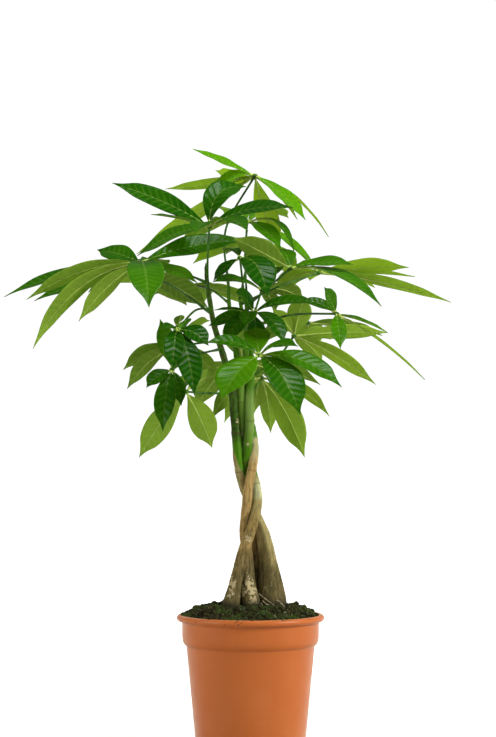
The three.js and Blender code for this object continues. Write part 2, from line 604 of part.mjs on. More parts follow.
// The soil fills the pot and is heaped towards the stems, with a lumpy top.
function soilSolid() {
  const random = stream(SEED);
  const points = [];
  const triangles = [];
  const addRing = (radius, heightAt) => {
    for (let sector = 0; sector < FACETS; sector += 1) {
      const angle = (2 * Math.PI * sector) / FACETS;
      points.push(new THREE.Vector3(radius * Math.cos(angle), radius * Math.sin(angle), heightAt()));
    }
  };
  points.push(new THREE.Vector3(0, 0, SOIL_EDGE + SOIL_HEAP));
  SOIL_SHARES.forEach((share) => {
    const height = SOIL_EDGE + SOIL_HEAP * (1 - share ** SOIL_SHOULDER);
    const lump = share < 1 ? SOIL_LUMP : 0;
    addRing(share * (innerRadius(SOIL_EDGE) - GAP), () => height + lump * (2 * random() - 1));
  });
  const floor = FLOOR + GAP;
  const walls = [BAND_BOTTOM + BAND_FOOT, BAND_BOTTOM, floor];
  walls.forEach((z) => addRing(innerRadius(z) - GAP, () => z));
  const rings = SOIL_SHARES.length + walls.length;
  points.push(new THREE.Vector3(0, 0, floor));
  for (let sector = 0; sector < FACETS; sector += 1) {
    const next = (sector + 1) % FACETS;
    triangles.push([0, 1 + sector, 1 + next]);
    for (let ring = 0; ring + 1 < rings; ring += 1) {
      const a = 1 + ring * FACETS;
      const b = a + FACETS;
      triangles.push([a + sector, b + sector, b + next], [a + sector, b + next, a + next]);
    }
    const low = 1 + (rings - 1) * FACETS;
    triangles.push([low + sector, points.length - 1, low + next]);
  }
  return solidOf(closedGeometry(points, triangles));
}

function addMesh(group, name, solid, material) {
  const mesh = new THREE.Mesh(geometryOf(solid), material);
  mesh.name = name;
  group.add(mesh);
}

const tree = new THREE.Group();
tree.name = 'potted_money_tree';

addMesh(tree, 'pot', potSolid(), terracotta);

// Each stem is pressed against those plaited before it, which leave their shape in it.
const grownStems = [];
const stemSolids = Object.entries(STEMS).map(([name, points]) => {
  let solid = stemSolid(points);
  grownStems.forEach((grown) => {
    solid = solid.subtract(grown);
  });
  grownStems.push(stemSolid(points, GAP));
  return [name, solid];
});
const allStems = wasm.Manifold.union(grownStems);

addMesh(tree, 'soil', soilSolid().subtract(allStems), potting);
stemSolids.forEach(([name, solid]) => addMesh(tree, name, solid, bark));
LEAVES.forEach((leaf) => addMesh(tree, leaf.name, leafSolid(leaf).subtract(allStems), foliage));

export default tree;
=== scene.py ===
import math
from collections import namedtuple
from contextlib import contextmanager

import bpy
import numpy as np
from bpy.props import FloatProperty, FloatVectorProperty, IntProperty, PointerProperty
from mathutils import Euler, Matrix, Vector


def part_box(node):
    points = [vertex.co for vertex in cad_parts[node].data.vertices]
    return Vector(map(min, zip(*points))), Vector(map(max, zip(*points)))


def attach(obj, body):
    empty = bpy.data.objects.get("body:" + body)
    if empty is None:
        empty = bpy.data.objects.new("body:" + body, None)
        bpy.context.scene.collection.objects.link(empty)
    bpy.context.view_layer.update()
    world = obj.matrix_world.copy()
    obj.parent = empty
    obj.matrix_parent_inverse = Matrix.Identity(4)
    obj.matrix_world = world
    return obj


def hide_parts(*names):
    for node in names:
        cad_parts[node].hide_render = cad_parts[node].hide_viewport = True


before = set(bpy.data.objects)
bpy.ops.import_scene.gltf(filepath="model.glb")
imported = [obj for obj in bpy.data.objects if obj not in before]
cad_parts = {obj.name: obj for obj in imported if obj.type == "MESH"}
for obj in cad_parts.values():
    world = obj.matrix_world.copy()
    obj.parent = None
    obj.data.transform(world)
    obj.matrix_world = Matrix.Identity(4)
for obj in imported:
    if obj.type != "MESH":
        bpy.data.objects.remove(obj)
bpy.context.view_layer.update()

bl_info = {
    "name": "Potted money tree",
    "version": (1, 0, 0),
    "blender": (4, 5, 0),
    "location": "View3D > Sidebar > Money tree",
    "description": "A braided money tree in a nursery pot, dressed around its packed solids",
    "category": "Add Mesh",
}

POT_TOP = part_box("pot")[1]

# Seeds of the random draws
SOIL_SEED = 11
STEM_SEED = 31
LEAF_SEED = 101

# The plant's given points are in millimetres, and every piece is made in metres
MM = 0.001

# The pot's profile, as in the solid
BASE_RADIUS = 0.063
BODY_TOP_RADIUS = 0.0741
BAND_RADIUS = 0.0792
BAND_BOTTOM = 0.1195
BAND_FOOT = 0.006
LIP_ROLL = 0.0039
LIP_RADIUS = POT_TOP.x
POT_HEIGHT = POT_TOP.z
WALL = 0.0016
FLOOR = 0.0024
DRAIN_COUNT = 6
DRAIN_RADIUS = 0.005
DRAIN_CIRCLE = 0.038
MIDDLE_RADIUS = 0.012
FOOT_HEIGHT = 0.003
BODY_HEIGHT = BAND_BOTTOM - 0.0045
BODY_RINGS = 7

# Rounded corners of the profile, as steps outwards and upwards from the sharp one, and the first and
# last angle of the lip's roll and the step between two
FOOT_STEPS = ((-0.0045, 0), (-0.0016, 0.0003), (-0.0004, 0.0012), (0, FOOT_HEIGHT))
BAND_FOOT_STEPS = ((0.0002, -0.0004), (0.0011, 0.0004), (0.0026, 0.0018))
BAND_STEPS = ((-0.0014, 0.0038), (-0.0006, 0.0062), (-0.0001, 0.011))
UNDER_LIP_STEPS = ((0, -0.003), (0.0001, -0.0008), (0.0005, 0))
LIP_DEGREES = (-80, 90, 10)
LIP_END = (-0.0018, -0.0005)
INNER_EDGE = (0.0006, -0.0024)
INNER_WALL_DROP = 0.002

# Moulding rings, as the angle of a wave for each metre up the pot, and the soil that clings to its
# rim from this far to this far below the top
RING_WAVE = 2100.0
CLINGING_SOIL = (0.04, 0.02, 0.01, 1)
CLINGING_FROM = 0.007
CLINGING_TO = 0.004

# Two knots of a curve nearer than this in millimetres are one, and so are two points of a mesh
# nearer than this in metres
SAME_PLACE = 1e-4
SAME_POINT = 1e-6

# The heap of soil, and the size and depth of the lumps in its top, which end short of its edge
SOIL_EDGE = 0.153
SOIL_HEAP = 0.0115
SOIL_SHOULDER = 6
SOIL_SECTORS = 128
SOIL_ROWS = 44
SOIL_LUMPS = ((0.02, 0.004), (0.006, 0.0035), (0.0025, 0.0018))
LUMPS_END = 0.9
GAP = 0.0003
SOIL_RADIUS = BAND_RADIUS - WALL - GAP
SOIL_FLOOR = FLOOR + GAP

# Crumbs lie out to this radius, on the inner side of the rim
STREWN_RADIUS = 0.0795
RIM_HEIGHT = POT_HEIGHT - 0.0012

# Crumbs and sprigs of moss: the smallest and the further spread of their sizes, how they are
# stretched, how deep they are sunk and how clear of a stem they lie, as shares of their size, the
# shape of each one unit across or tall, and how much it is tilted, as a share of half a turn
SMALLEST = 0.45
SIZE_SPREAD = 1.2
STRETCH = (0.7, 1.25)
SUNK = 0.45
DEPTH_SPREAD = 0.4
CLEARANCE = 0.2
CRUMB_ROUGHNESS = 0.16
SPRIG_RADII = (0.22, 0.16)
SPRIG_FOOT = 0.5
SPRIG_LIFT = (0, 0, 0.1)
SPRIG_TIP = (0.16, 0.05, 0.45)
FACES_UP = 0.9
CRUMB_TILT = 1
SPRIG_TILT = 0.35

# Surface roots: points along one, how far it wanders between two, its radii at both ends, how high
# its middle lies, and over how many points its bed is evened out
ROOT_POINTS = 40
ROOT_WANDER = 0.00012
ROOT_RADII = (0.0005, 0.0002)
ROOT_LIFT = 0.0009
ROOT_SIDES = 7
EVENED = 7

# Bark: how often its ridges go round a stem, how far the rings at the nodes reach along it and
# swell, how much broader the woody foot and the pressed green stems are, and the heights between
# which the foot turns woody, the soil keeps it damp, and the green stems press together. Its tip
# closes between two shares of its length.
RIDGE_TURNS = (2, 3, 5, 7, 9, 13)
RIDGE_TWIST = 9
TIP_CLOSES = (1, 0.985)
NODE_REACH = 0.0022
NODE_SWELLING = 0.0004
RING_BELOW = 1.3
RING_REACH = 0.0007
RING_STRENGTH = 0.7
FLUTE_DEPTH = 0.0009
FOOT_SWELLING = 0.0007
FLUTE_TWIST = 40
PRESSED = 0.0006
WOODY = (0.32, 0.2)
DAMP = (0.1745, 0.1655)
PRESSED_FROM = (0.325, 0.34)
PRESSED_TO = (0.43, 0.41)
BARK_LUMPS = (0.007, 0.0008)
LICHEN = (0.3, 0.29, 0.15, 1)
DARK_RING = (0.09, 0.055, 0.025, 1)
DAMP_FOOT = (0.025, 0.022, 0.012, 1)

# Leaf blades: how far side veins slant towards the tip, where they start, the middle groove's
# reach and depth, the number and height of the ripples at the edge, and how much the leaflets of
# one leaf differ in age
VEIN_SLANT = 0.75
VEIN_CURVE = 0.85
VEIN_START = 0.35
FEWEST_VEINS = 7
GROOVE_REACH = 0.14
GROOVE_DEPTH = 0.0004
RIPPLES = (1.6, 2.8)
RIPPLE = 0.04
SIDE_SHIFT = 0.23
AGE_SPREAD = 0.18
NARROWEST = 0.0003

# Middle ribs, stalks and hubs: points and sides, radii, and how much a stalk swells at each end. A
# stem's line is cut into fine steps to find where a stalk starts.
RIB_POINTS = 40
RIB_SIDES = 8
RIB_RADIUS = 0.0011
RIB_TIP_RADIUS = 0.00018
RIB_DEPTH = 0.0005
FINE_STEPS = 2000
STALK_POINTS = 48
STALK_SIDES = 12
STALK_RADIUS = 0.00125
STALK_SWELLING = 0.0006
HUB_RADIUS = 0.0029
HUB_SHAPE = (1.15, 1.15, 0.8)

# The camera is level with the middle of the picture. Each light has a place, a size and whether it
# is mirrored, and points at the middle of the plant. The floor glows, as painted light: it is dimmer
# round the pot, a painted shade, white from some way off, and fainter as a light than it looks. The
# surroundings are white to the eye.
CAMERA_PLACE = (-0.0029, -3.2, 0.4395)
PLANT_MIDDLE = (0, 0, 0.42)
LIGHTS = {
    "key": ((2.65, -1.2, 1.5), (1.5, 1.5), True),
    "fill": ((-2.65, -1.2, 1.1), (1.5, 1.5), True),
    "back": ((0, 2.8, 0.95), (4.4, 2.4), False),
    "top": ((0.2, -0.35, 2.4), (0.75, 0.75), True),
}
FLOOR_RADIUS = 40
FLOOR_GREY = (0.4, 0.4, 0.4, 1)
WHITE_FROM = 0.7
SHADED_GLOW = 0.6
FLOOR_LIGHT = 0.12
WARM_WHITE = (1, 0.97, 0.89, 1)
WHITE = (1, 1, 1, 1)
SEEN_WHITE = 1.05

# A leaflet's form, as in the solid
ROOT = 2.2 * MM
CROWN = 0.45
FOLD = 0.16
WIDEST = 1.22
ROUNDNESS = 0.9
DRIP_FROM = 0.78
DRIP_TO = 0.97
DRIP = 0.45

# Stems, from the root stub in the soil to the growing tip: x, y, z and radius. The second point is
# at the top of the soil.
STEMS = {
    "stem_left": [
        (-24, -10, 136, 7), (-22.5, -10, 163, 10.6), (-18, -10, 187, 8), (-13, -11, 209, 6.2),
        (-7, -11.5, 231, 5.5), (-1, -12, 248, 5), (3, -11.5, 261, 4.9), (6.5, -8, 274, 5.2),
        (8, -3, 288, 5.4), (7, 4, 301, 5.2), (3, 9.5, 317, 4.9), (-3, 10.5, 333, 4.8),
        (-7.6, 7.5, 352, 4.7), (-9.4, 2, 370, 4.5), (-9.8, -1.5, 391, 4.4), (-10.8, -2, 412, 4.3),
        (-14.5, 0, 443, 3.6), (-20, 5, 478, 3), (-24.5, 9, 512, 2.4), (-26, 11, 543, 2),
    ],
    "stem_middle": [
        (0, -6, 136, 8), (0, -6, 163, 11.8), (-2.5, -3, 187, 9), (-3.5, 0, 206, 6.8),
        (-4, 2, 222, 5.6), (-5.5, 2.5, 236, 5.1), (-7, 0, 251, 5), (-6, -4, 267, 5),
        (-4.5, -7, 283, 5.2), (-3.2, -8, 299, 5.3), (-0.5, -8, 313, 5.3), (2.2, -6.5, 327, 5.2),
        (4, -2, 343, 4.9), (3.2, 4, 358, 4.6), (0, 7.5, 374, 4.4), (-3.5, 6, 392, 4.2),
        (-5.5, 3.5, 410, 4.1), (-6, 0, 440, 3.6), (-5, -3, 467, 3.1), (-4, -6, 495, 2.5),
        (-4, -7, 521, 2),
    ],
    "stem_right": [
        (27, 2, 134, 11), (26, 2, 163, 15.2), (23, 4, 193, 12.4), (20, 5, 217, 9.4),
        (17, 5, 236, 8.6), (14.2, 4.5, 250, 7.3), (9.5, 6.5, 263, 5.9), (4, 9, 277, 5.2),
        (-3, 7.5, 290, 5), (-8.5, 2.5, 303, 5), (-12, -3, 317, 5), (-14.5, -5, 332, 5),
        (-15.5, -5.5, 348, 4.8), (-17, -5, 368, 4.6), (-19, -5, 389, 4.5), (-20.5, -5, 411, 4.4),
        (-26.5, -8, 437, 4), (-35, -12, 466, 3.6), (-42.5, -15, 492, 3.3), (-47, -17, 518, 2.9),
        (-50, -18, 539, 2.5), (-51.5, -18, 561, 2),
    ],
    "stem_back": [
        (12, 17, 136, 7), (11, 17, 163, 9.3), (8, 15.5, 192, 7), (7, 14.5, 222, 5.9),
        (4, 14.5, 250, 5.1), (1, 17, 272, 4.9), (-1, 17.5, 292, 4.8), (-4.5, 14, 305, 4.8),
        (-7, 7, 315, 4.7), (-7, 1, 324, 4.6), (-5, -3.5, 337, 4.6), (-2.6, -6.5, 355, 4.6),
        (-1, -7, 373, 4.6), (-0.9, -6, 391, 4.5), (-1, -4, 408, 4.4), (1.5, 1, 435, 3.7),
        (-1, 9, 466, 3.1), (-8, 15, 497, 2.5), (-13, 19, 523, 2),
    ],
}
# Each stem turns from bark to green between two heights, and the third number says how much lower
# it does so on its right side.
GREENING = {
    "stem_left": (300, 330, 0),
    "stem_middle": (346, 368, 0),
    "stem_right": (316, 344, 16),
    "stem_back": (290, 318, 0),
}

# Tints of a stem: each comes in between its first two heights and goes between the next two, and
# the last number says how strong it is. Olive is thin bark that its green shows through, the dark
# mottled tint makes bark darker and mottled, pale is waxy, and the lighter green is painted light,
# where a stem lies in shade between the others.
TINTS = {
    "olive": {
        "stem_left": (262, 276, 400, 470, 1),
        "stem_middle": (340, 352, 380, 420, 1),
        "stem_right": (196, 244, 400, 470, 1),
        "stem_back": (230, 285, 300, 320, 1),
    },
    "weathered": {
        "stem_left": (236, 250, 262, 284, 0.35),
        "stem_right": (350, 364, 640, 650, 0.75),
        "stem_back": (318, 326, 340, 352, 0.2),
    },
    "pale": {
        "stem_left": (284, 291, 303, 312, 0.8),
        "stem_middle": (326, 340, 354, 362, 0.4),
        "stem_back": (360, 372, 402, 424, 0.12),
    },
    # Painted light: a lighter green where these stems lie in shade between the others
    "lively": {
        "stem_left": (352, 368, 410, 430, 0.7),
        "stem_back": (346, 360, 400, 420, 0.55),
    },
}

# Pale scars where bark has rubbed off or a leaf has fallen: stem, height, direction and radius. The
# direction is in degrees round the stem, with -90 at the front and 0 at the right.
SCARS = [
    ("stem_left", 243, -90, 5), ("stem_left", 190, -118, 7), ("stem_left", 179, -106, 6),
    ("stem_left", 364, -106, 3), ("stem_left", 300, -60, 3), ("stem_left", 385, 80, 3),
    ("stem_middle", 191, -86, 8), ("stem_middle", 182, -120, 6), ("stem_middle", 181, -60, 7),
    ("stem_middle", 171, -66, 8),
    ("stem_middle", 330, 75, 3.5), ("stem_right", 378, -54, 3), ("stem_right", 262, -80, 3),
    ("stem_back", 176, 80, 5), ("stem_back", 352, -95, 2.5),
]

# Dark rings at the old nodes: stem and height
NODES = [
    ("stem_left", 306), ("stem_left", 352), ("stem_left", 402), ("stem_middle", 323),
    ("stem_middle", 371), ("stem_middle", 420), ("stem_right", 276), ("stem_right", 322),
    ("stem_right", 366), ("stem_right", 418), ("stem_right", 455), ("stem_back", 240),
    ("stem_back", 288), ("stem_back", 334), ("stem_back", 380), ("stem_back", 432), ("stem_left", 447),
    ("stem_middle", 458), ("stem_back", 470), ("stem_left", 486), ("stem_right", 488),
]

# Thin pale roots that lie on the soil beside the stems
ROOTS = [
    [(10, -12, 180), (16, -20, 175.5), (22, -28, 171.5), (29, -34, 167), (39, -41, 163)],
    [(14, -12, 172), (19, -19, 168), (26, -25, 165), (34, -24, 163), (42, -30, 163)],
    [(12, -15, 170), (16, -24, 166), (21, -34, 163), (28, -38, 163), (34, -46, 163)],
    [(30, -12, 173), (35, -18, 170), (40, -24, 165), (46, -26, 163)],
    [(17, -11, 169), (25, -18, 166), (31, -29, 164), (41, -34, 163), (50, -32, 163)],
    [(34, -10, 169), (38, -16, 166), (43, -18, 163), (48, -26, 163)],
    [(-30, -4, 168), (-35, -10, 166), (-41, -12, 163), (-46, -19, 163)],
    [(5, 27, 168), (1, 34, 166), (-5, 38, 163), (-9, 47, 163)],
]

Leaflet = namedtuple("Leaflet", "tip wide arch faces", defaults=(None,))
Leaf = namedtuple("Leaf", "stem start by hub faces young leaflets")

# The leaves. Each starts on a stem at a height and passes by a point to its hub, its upper side
# faces a direction, and the number after that says how pale it is: partly the leaf's age, and partly
# painted light, higher on leaves that stand in brighter light and lower on those in the crown's shade.
# A leaflet has a tip, a width and an arch.
LEAVES = {
    "leaf_left_front": Leaf("stem_right", 538, (-88, -32, 553), (-126, -25, 561), (0, 0.15, 1), 0.35, [
        Leaflet((-256, -40, 518), 22, 0.08, (-0.2, 0.8, 0.6)),
        Leaflet((-246, -70, 462), 26, 0.13, (-0.3, 0.8, 0.7)),
        Leaflet((-195, -60, 493), 24, 0.06, (-0.3, 0.8, 0.5)),
        Leaflet((-112, -150, 507), 42, 0.12, (0, -0.3, 1)),
        Leaflet((-60, -85, 536), 28, 0.04, (0.2, -0.5, 1)),
        Leaflet((-7, -5, 588), 33, 0.045, (-0.1, -0.7, 0.7)),
        Leaflet((-98, 75, 562), 28, 0.04, (0, -0.4, 1)),
        Leaflet((-179, 30, 578), 27, 0.03, (0, -0.8, 0.6)),
    ]),
    "leaf_left_back": Leaf("stem_right", 502, (-90, 10, 535), (-129, 35, 552), (0, 0.25, 1), 0.2, [
        Leaflet((-290, 60, 524), 30, 0.08, (0, -0.5, 1)),
        Leaflet((-251, 12, 518), 32, 0.05, (0, -0.5, 1)), Leaflet((-193, 90, 530), 28, 0.06),
        Leaflet((-137, 125, 570), 32, 0.06), Leaflet((-76, 110, 515), 36, 0.05, (0, 0.7, 0.8)),
        Leaflet((-50, 70, 511), 34, 0.05, (0, 0.7, 0.8)),
    ]),
    "leaf_upper_left": Leaf("stem_right", 530, (-49, -40, 562), (-47, -45, 601), (0, -0.2, 1), 0.3, [
        Leaflet((-157, -60, 650), 29, 0.035, (0.2, -0.8, 0.6)), Leaflet((-112, -85, 613), 22, 0.03),
        Leaflet((-132, 30, 571), 28, 0.06, (-0.2, -0.8, 0.8)), Leaflet((-62, -110, 590), 24, 0.12),
        Leaflet((-3, -130, 592), 30, 0.12), Leaflet((48, -75, 621), 28, 0.09, (0.1, -0.6, 0.8)),
        Leaflet((-5, -10, 649), 34, 0.26, (-0.1, -0.7, 0.7)),
    ]),
    "leaf_top": Leaf("stem_left", 535, (-29, 19, 600), (5, 20, 664), (0, -0.1, 1), 0.95, [
        Leaflet((-67, 20, 695), 24, 0, (0.2, -0.4, 1)),
        Leaflet((-40, 10, 639), 24, 0.22, (-0.1, -0.5, 0.9)),
        Leaflet((-41, 60, 673), 26, -0.1, (0, 0.7, 0.7)),
        Leaflet((63, -25, 610), 28, 0.05, (0.5, -0.6, 0.8)),
        Leaflet((91, 25, 593), 20, 0.09, (0.6, 0, 0.8)), Leaflet((55, 40, 614), 26, 0.05),
        Leaflet((34, 70, 580), 28, -0.04, (0.3, 0.8, 0.3)),
        Leaflet((-100, 60, 651), 18, -0.02, (0, 0.6, 0.8)),
        Leaflet((-134, 52, 574), 22, 0, (-0.3, 0.7, 0.6)),
    ]),
    "leaf_upper_back": Leaf("stem_middle", 514, (-6, 24, 565), (-4, 45, 611), (0, 0.1, 1), 0.55, [
        Leaflet((51, 15, 573), 18, 0.26, (0.5, -0.3, 0.8)),
        Leaflet((35, -30, 576), 24, 0.08, (0.2, -0.7, 0.7)), Leaflet((46, 150, 622), 34, 0.08),
        Leaflet((-32, 152, 628), 34, 0.08), Leaflet((-86, 118, 586), 32, 0.08),
    ]),
    "leaf_right_front": Leaf("stem_middle", 510, (14, -20, 527), (46, -40, 554), (0, 0, 1), 0.55, [
        Leaflet((-20, -66, 588), 34, 0.01, (0.3, 0.8, 0.6)),
        Leaflet((37, -2, 578), 22, 0.06, (0, -0.5, 0.9)),
        Leaflet((116, -70, 557), 26, 0.06, (0, -0.5, 0.9)),
        Leaflet((146, -110, 509), 34, 0.11, (0.3, -0.3, 1)), Leaflet((100, 8, 566), 26, 0.03),
    ]),
    "leaf_right_back": Leaf("stem_back", 514, (30, -4, 533), (79, 30, 551), (0, 0.1, 1), 0.8, [
        Leaflet((184, 18, 557), 30, 0.025, (0, 0.6, 0.8)), Leaflet((194, 66, 548), 28, 0.02),
        Leaflet((232, 0, 516), 21, 0.035, (0.1, 0.6, 0.9)), Leaflet((150, 140, 537), 36, 0.05),
        Leaflet((72, 150, 546), 34, 0.06), Leaflet((31, 78, 529), 30, 0.12, (0, 0.5, 0.9)),
        Leaflet((21, 85, 608), 15, 0.05, (0.2, -0.5, 0.9)),
    ]),
    "leaf_right_small": Leaf("stem_middle", 483, (45, -68, 500), (96, -95, 501), (0, -0.3, 1), 0.5, [
        Leaflet((82, -118, 530), 18, 0.04, (0.3, -0.9, 0.4)),
        Leaflet((57, -82, 517), 15, 0.08, (0, -0.7, 0.7)),
        Leaflet((99, -150, 461), 18, 0.06, (0.1, -0.8, 0.6)), Leaflet((155, -76, 480), 18, 0.04),
        Leaflet((195, -105, 427), 14, 0.04, (0.7, 0.1, 0.8)),
    ]),
    "leaf_right_middle": Leaf("stem_back", 430, (30, -2, 450), (50, -15, 477), (0.1, 0.85, 0.5), 0.65, [
        Leaflet((25, -38, 508), 18, 0.04), Leaflet((62, -45, 521), 28, 0.04),
        Leaflet((159, 0, 481), 20, 0.02), Leaflet((143, -45, 421), 20, 0.045),
        Leaflet((84, 20, 446), 20, 0.08), Leaflet((95, 70, 474), 26, 0.05),
    ]),
    "leaf_centre_back": Leaf("stem_back", 486, (5, 9, 506), (13, 15, 531), (0, 0, 1), 0.15, [
        Leaflet((-43, -50, 538), 22, 0.08, (0, -0.6, 0.8)),
        Leaflet((63, 48, 520), 26, 0.1, (0, 0.7, 0.8)), Leaflet((36, 80, 560), 26, 0.1),
        Leaflet((30, 62, 506), 20, 0.1),
    ]),
    "leaf_centre_upper": Leaf("stem_middle", 498, (-9, -32, 538), (-12, -60, 565), (0, -0.2, 1), 0, [
        Leaflet((19, -118, 519), 38, 0.18, (0.2, -0.7, 0.7)),
        Leaflet((-42, -62, 539), 18, 0.06, (-0.3, -0.6, 0.8)), Leaflet((-28, 2, 572), 22, 0.12),
    ]),
    "leaf_centre_low": Leaf("stem_middle", 463, (-3, -26, 485), (3, -50, 503), (0, -0.3, 1), 0.15, [
        Leaflet((75, -80, 513), 20, 0.1, (0, -0.6, 0.8)),
        Leaflet((38, -110, 466), 26, 0.14, (0.3, -0.6, 0.8)),
        Leaflet((-17, -76, 525), 26, 0.1, (0, -0.8, 0.6)), Leaflet((-6, -98, 486), 20, 0.12),
        Leaflet((-41, -60, 506), 12, 0.05), Leaflet((-30, -62, 470), 22, 0.08, (0, -0.8, 0.5)),
        Leaflet((8, -42, 462), 22, 0.05, (0, -0.8, 0.5)),
        Leaflet((-48, -38, 488), 20, 0.05, (0, -0.7, 0.7)),
    ]),
    "leaf_front": Leaf("stem_left", 430, (-2, -64, 443), (9, -120, 454), (0, -0.5, 0.9), 0.4, [
        Leaflet((-50, -136, 468), 22, 0.12, (-0.1, -0.6, 0.8)),
        Leaflet((-32, -170, 406), 44, 0.08, (-0.3, -0.8, 0.6)),
        Leaflet((54, -185, 389), 40, 0.11, (0.2, -0.8, 0.6)),
        Leaflet((100, -160, 419), 32, 0.11, (0.2, -0.6, 0.8)), Leaflet((52, -154, 464), 24, 0.12),
        Leaflet((5, -62, 486), 30, 0.06, (0, -0.7, 0.7)),
    ]),
    "leaf_low_back": Leaf("stem_back", 405, (6, 28, 418), (13, 55, 428), (0, 0.9, 0.5), 0.55, [
        Leaflet((24, 78, 363), 20, 0.08), Leaflet((63, 20, 336), 32, 0.06),
        Leaflet((93, 50, 383), 20, 0.12, (0.2, 0.7, 0.7)), Leaflet((4, 112, 385), 24, 0.12),
        Leaflet((-31, 74, 375), 18, 0.1), Leaflet((-45, 5, 380), 22, 0.14),
    ]),
    "leaf_left_low": Leaf("stem_right", 462, (-64, -42, 454), (-89, -70, 438), (-0.2, -0.8, 0.5), 0.35, [
        Leaflet((-102, -88, 495), 22, 0.05), Leaflet((-117, -92, 418), 20, 0.08),
        Leaflet((-98, -110, 369), 25, 0.12), Leaflet((-78, -88, 397), 16, 0.1),
        Leaflet((-66, -16, 448), 20, 0.08, (-0.2, 0.2, 1)),
    ]),
    "leaf_left_middle": Leaf("stem_right", 508, (-62, -50, 506), (-82, -100, 483), (0.1, -0.7, 0.7), 0, [
        Leaflet((-97, -126, 484), 13, 0.1), Leaflet((-77, -124, 499), 12, 0.1),
        Leaflet((-47, -118, 465), 26, 0.12), Leaflet((-62, -150, 410), 29, 0.1),
        Leaflet((-86, -146, 438), 24, 0.14),
    ]),
    "leaf_low_left": Leaf("stem_right", 411, (-48, -14, 411), (-74, -30, 413), (0.1, 0.9, 0.4), 0.5, [
        Leaflet((-44, -38, 349), 33, 0.03), Leaflet((-127, -48, 338), 30, 0.03),
        Leaflet((-34, 14, 432), 22, 0.08), Leaflet((-100, 60, 402), 28, 0.14, (0, 0, 1)),
    ]),
    "leaf_left_behind": Leaf("stem_left", 470, (-50, 10, 470), (-84, 10, 465), (-0.1, 0.7, 0.7), 0.4, [
        Leaflet((-148, 18, 438), 24, 0.1), Leaflet((-142, -12, 416), 26, 0.1),
        Leaflet((-75, 72, 498), 24, 0.08), Leaflet((-48, 58, 496), 26, 0.08),
        Leaflet((-38, 32, 426), 20, 0.1),
    ]),
    "leaf_rear_left": Leaf("stem_left", 515, (-46, 60, 532), (-70, 112, 540), (0, 0.3, 1), 0.4, [
        Leaflet((-170, 130, 542), 34, 0.04), Leaflet((-125, 210, 528), 38, 0.06),
        Leaflet((-58, 228, 520), 38, 0.07), Leaflet((6, 175, 512), 32, 0.06),
        Leaflet((-8, 96, 522), 24, 0.05),
    ]),
    "leaf_rear_right": Leaf("stem_back", 490, (38, 62, 496), (68, 96, 494), (0, 0.3, 1), 0.3, [
        Leaflet((158, 118, 479), 30, 0.04), Leaflet((130, 196, 484), 36, 0.04),
        Leaflet((72, 222, 450), 38, 0.1), Leaflet((14, 162, 470), 32, 0.08),
    ]),
    "leaf_rear_low": Leaf("stem_back", 440, (2, 62, 452), (-8, 112, 446), (0, 0.5, 1), 0.2, [
        Leaflet((-97, 132, 410), 32, 0.08), Leaflet((-68, 196, 388), 36, 0.1),
        Leaflet((2, 222, 384), 38, 0.1), Leaflet((60, 186, 402), 34, 0.1),
        Leaflet((84, 126, 420), 30, 0.08), Leaflet((-30, 100, 500), 32, 0.06, (0, 0.8, 0.5)),
    ]),
    "leaf_rear_top": Leaf("stem_back", 520, (-4, 66, 560), (10, 108, 588), (0, 0.3, 1), 0.6, [
        Leaflet((58, 142, 558), 28, 0.06), Leaflet((46, 200, 554), 34, 0.08),
        Leaflet((10, 224, 544), 36, 0.08), Leaflet((-70, 182, 568), 34, 0.06),
        Leaflet((-64, 122, 592), 26, 0.03),
    ]),
}


def colour_of(name, description, *parts):
    """A colour that a user can change, as red, green and blue light."""
    return FloatVectorProperty(name=name, description=description, subtype="COLOR", size=4,
                               default=(*parts, 1))


def length_of(name, description, default):
    """A length in metres that a user can change."""
    return FloatProperty(name=name, description=description, unit="LENGTH", default=default)


def power_of(name, description, default):
    """A light's power in watts that a user can change."""
    return FloatProperty(name=name, description=description, unit="POWER", default=default)


class PotSettings(bpy.types.PropertyGroup):
    segments: IntProperty(
        name="Segments", description="Sides of the turned wall", default=144, min=48)
    colour: colour_of("Plastic", "Terracotta-coloured plastic", 0.43, 0.107, 0.018)
    dusty: colour_of("Dusty plastic", "Plastic with a film of dust", 0.46, 0.135, 0.031)


class SoilSettings(bpy.types.PropertyGroup):
    crumbs: IntProperty(name="Crumbs", description="Loose crumbs on the soil", default=1000)
    sprigs: IntProperty(name="Sprigs", description="Sprigs of moss on the soil", default=1700)
    crumb_size: length_of("Crumb size", "Size of a middling crumb", 0.0032)
    sprig_height: length_of("Sprig height", "Height of a sprig of moss", 0.0032)
    dark: colour_of("Wet soil", "Dark, damp soil", 0.013, 0.012, 0.003)
    brown: colour_of("Dry soil", "Drier crumbs", 0.05, 0.042, 0.013)
    moss: colour_of("Moss", "Moss on the soil", 0.03, 0.05, 0.008)
    root: colour_of("Roots", "Dry surface roots", 0.42, 0.34, 0.2)


class StemSettings(bpy.types.PropertyGroup):
    sides: IntProperty(name="Sides", description="Sides of a stem", default=40)
    rows: IntProperty(name="Rows", description="Rings along a stem", default=300)
    ridge: length_of("Ridges", "Depth of the ridges in the bark", 0.00035)
    tan: colour_of("Tan bark", "Smooth young bark", 0.38, 0.25, 0.085)
    grey: colour_of("Grey bark", "Old bark near the soil", 0.13, 0.102, 0.036)
    fresh: colour_of("Green stem", "Stem that is still green", 0.05, 0.15, 0.001)
    weathered: colour_of("Weathered bark", "Dark mottled bark", 0.026, 0.045, 0.005)
    pale: colour_of("Pale bark", "Waxy, pale green bark", 0.45, 0.47, 0.25)
    # Painted light: a lighter green for stems that lie in shade
    lively: colour_of("Painted light green", "Lighter, smooth green stem", 0.16, 0.28, 0.04)
    olive: colour_of("Olive bark", "Thin bark that its green shows through", 0.3, 0.255, 0.1)
    scar: colour_of("Scars", "Bare wood and leaf scars", 0.46, 0.37, 0.2)


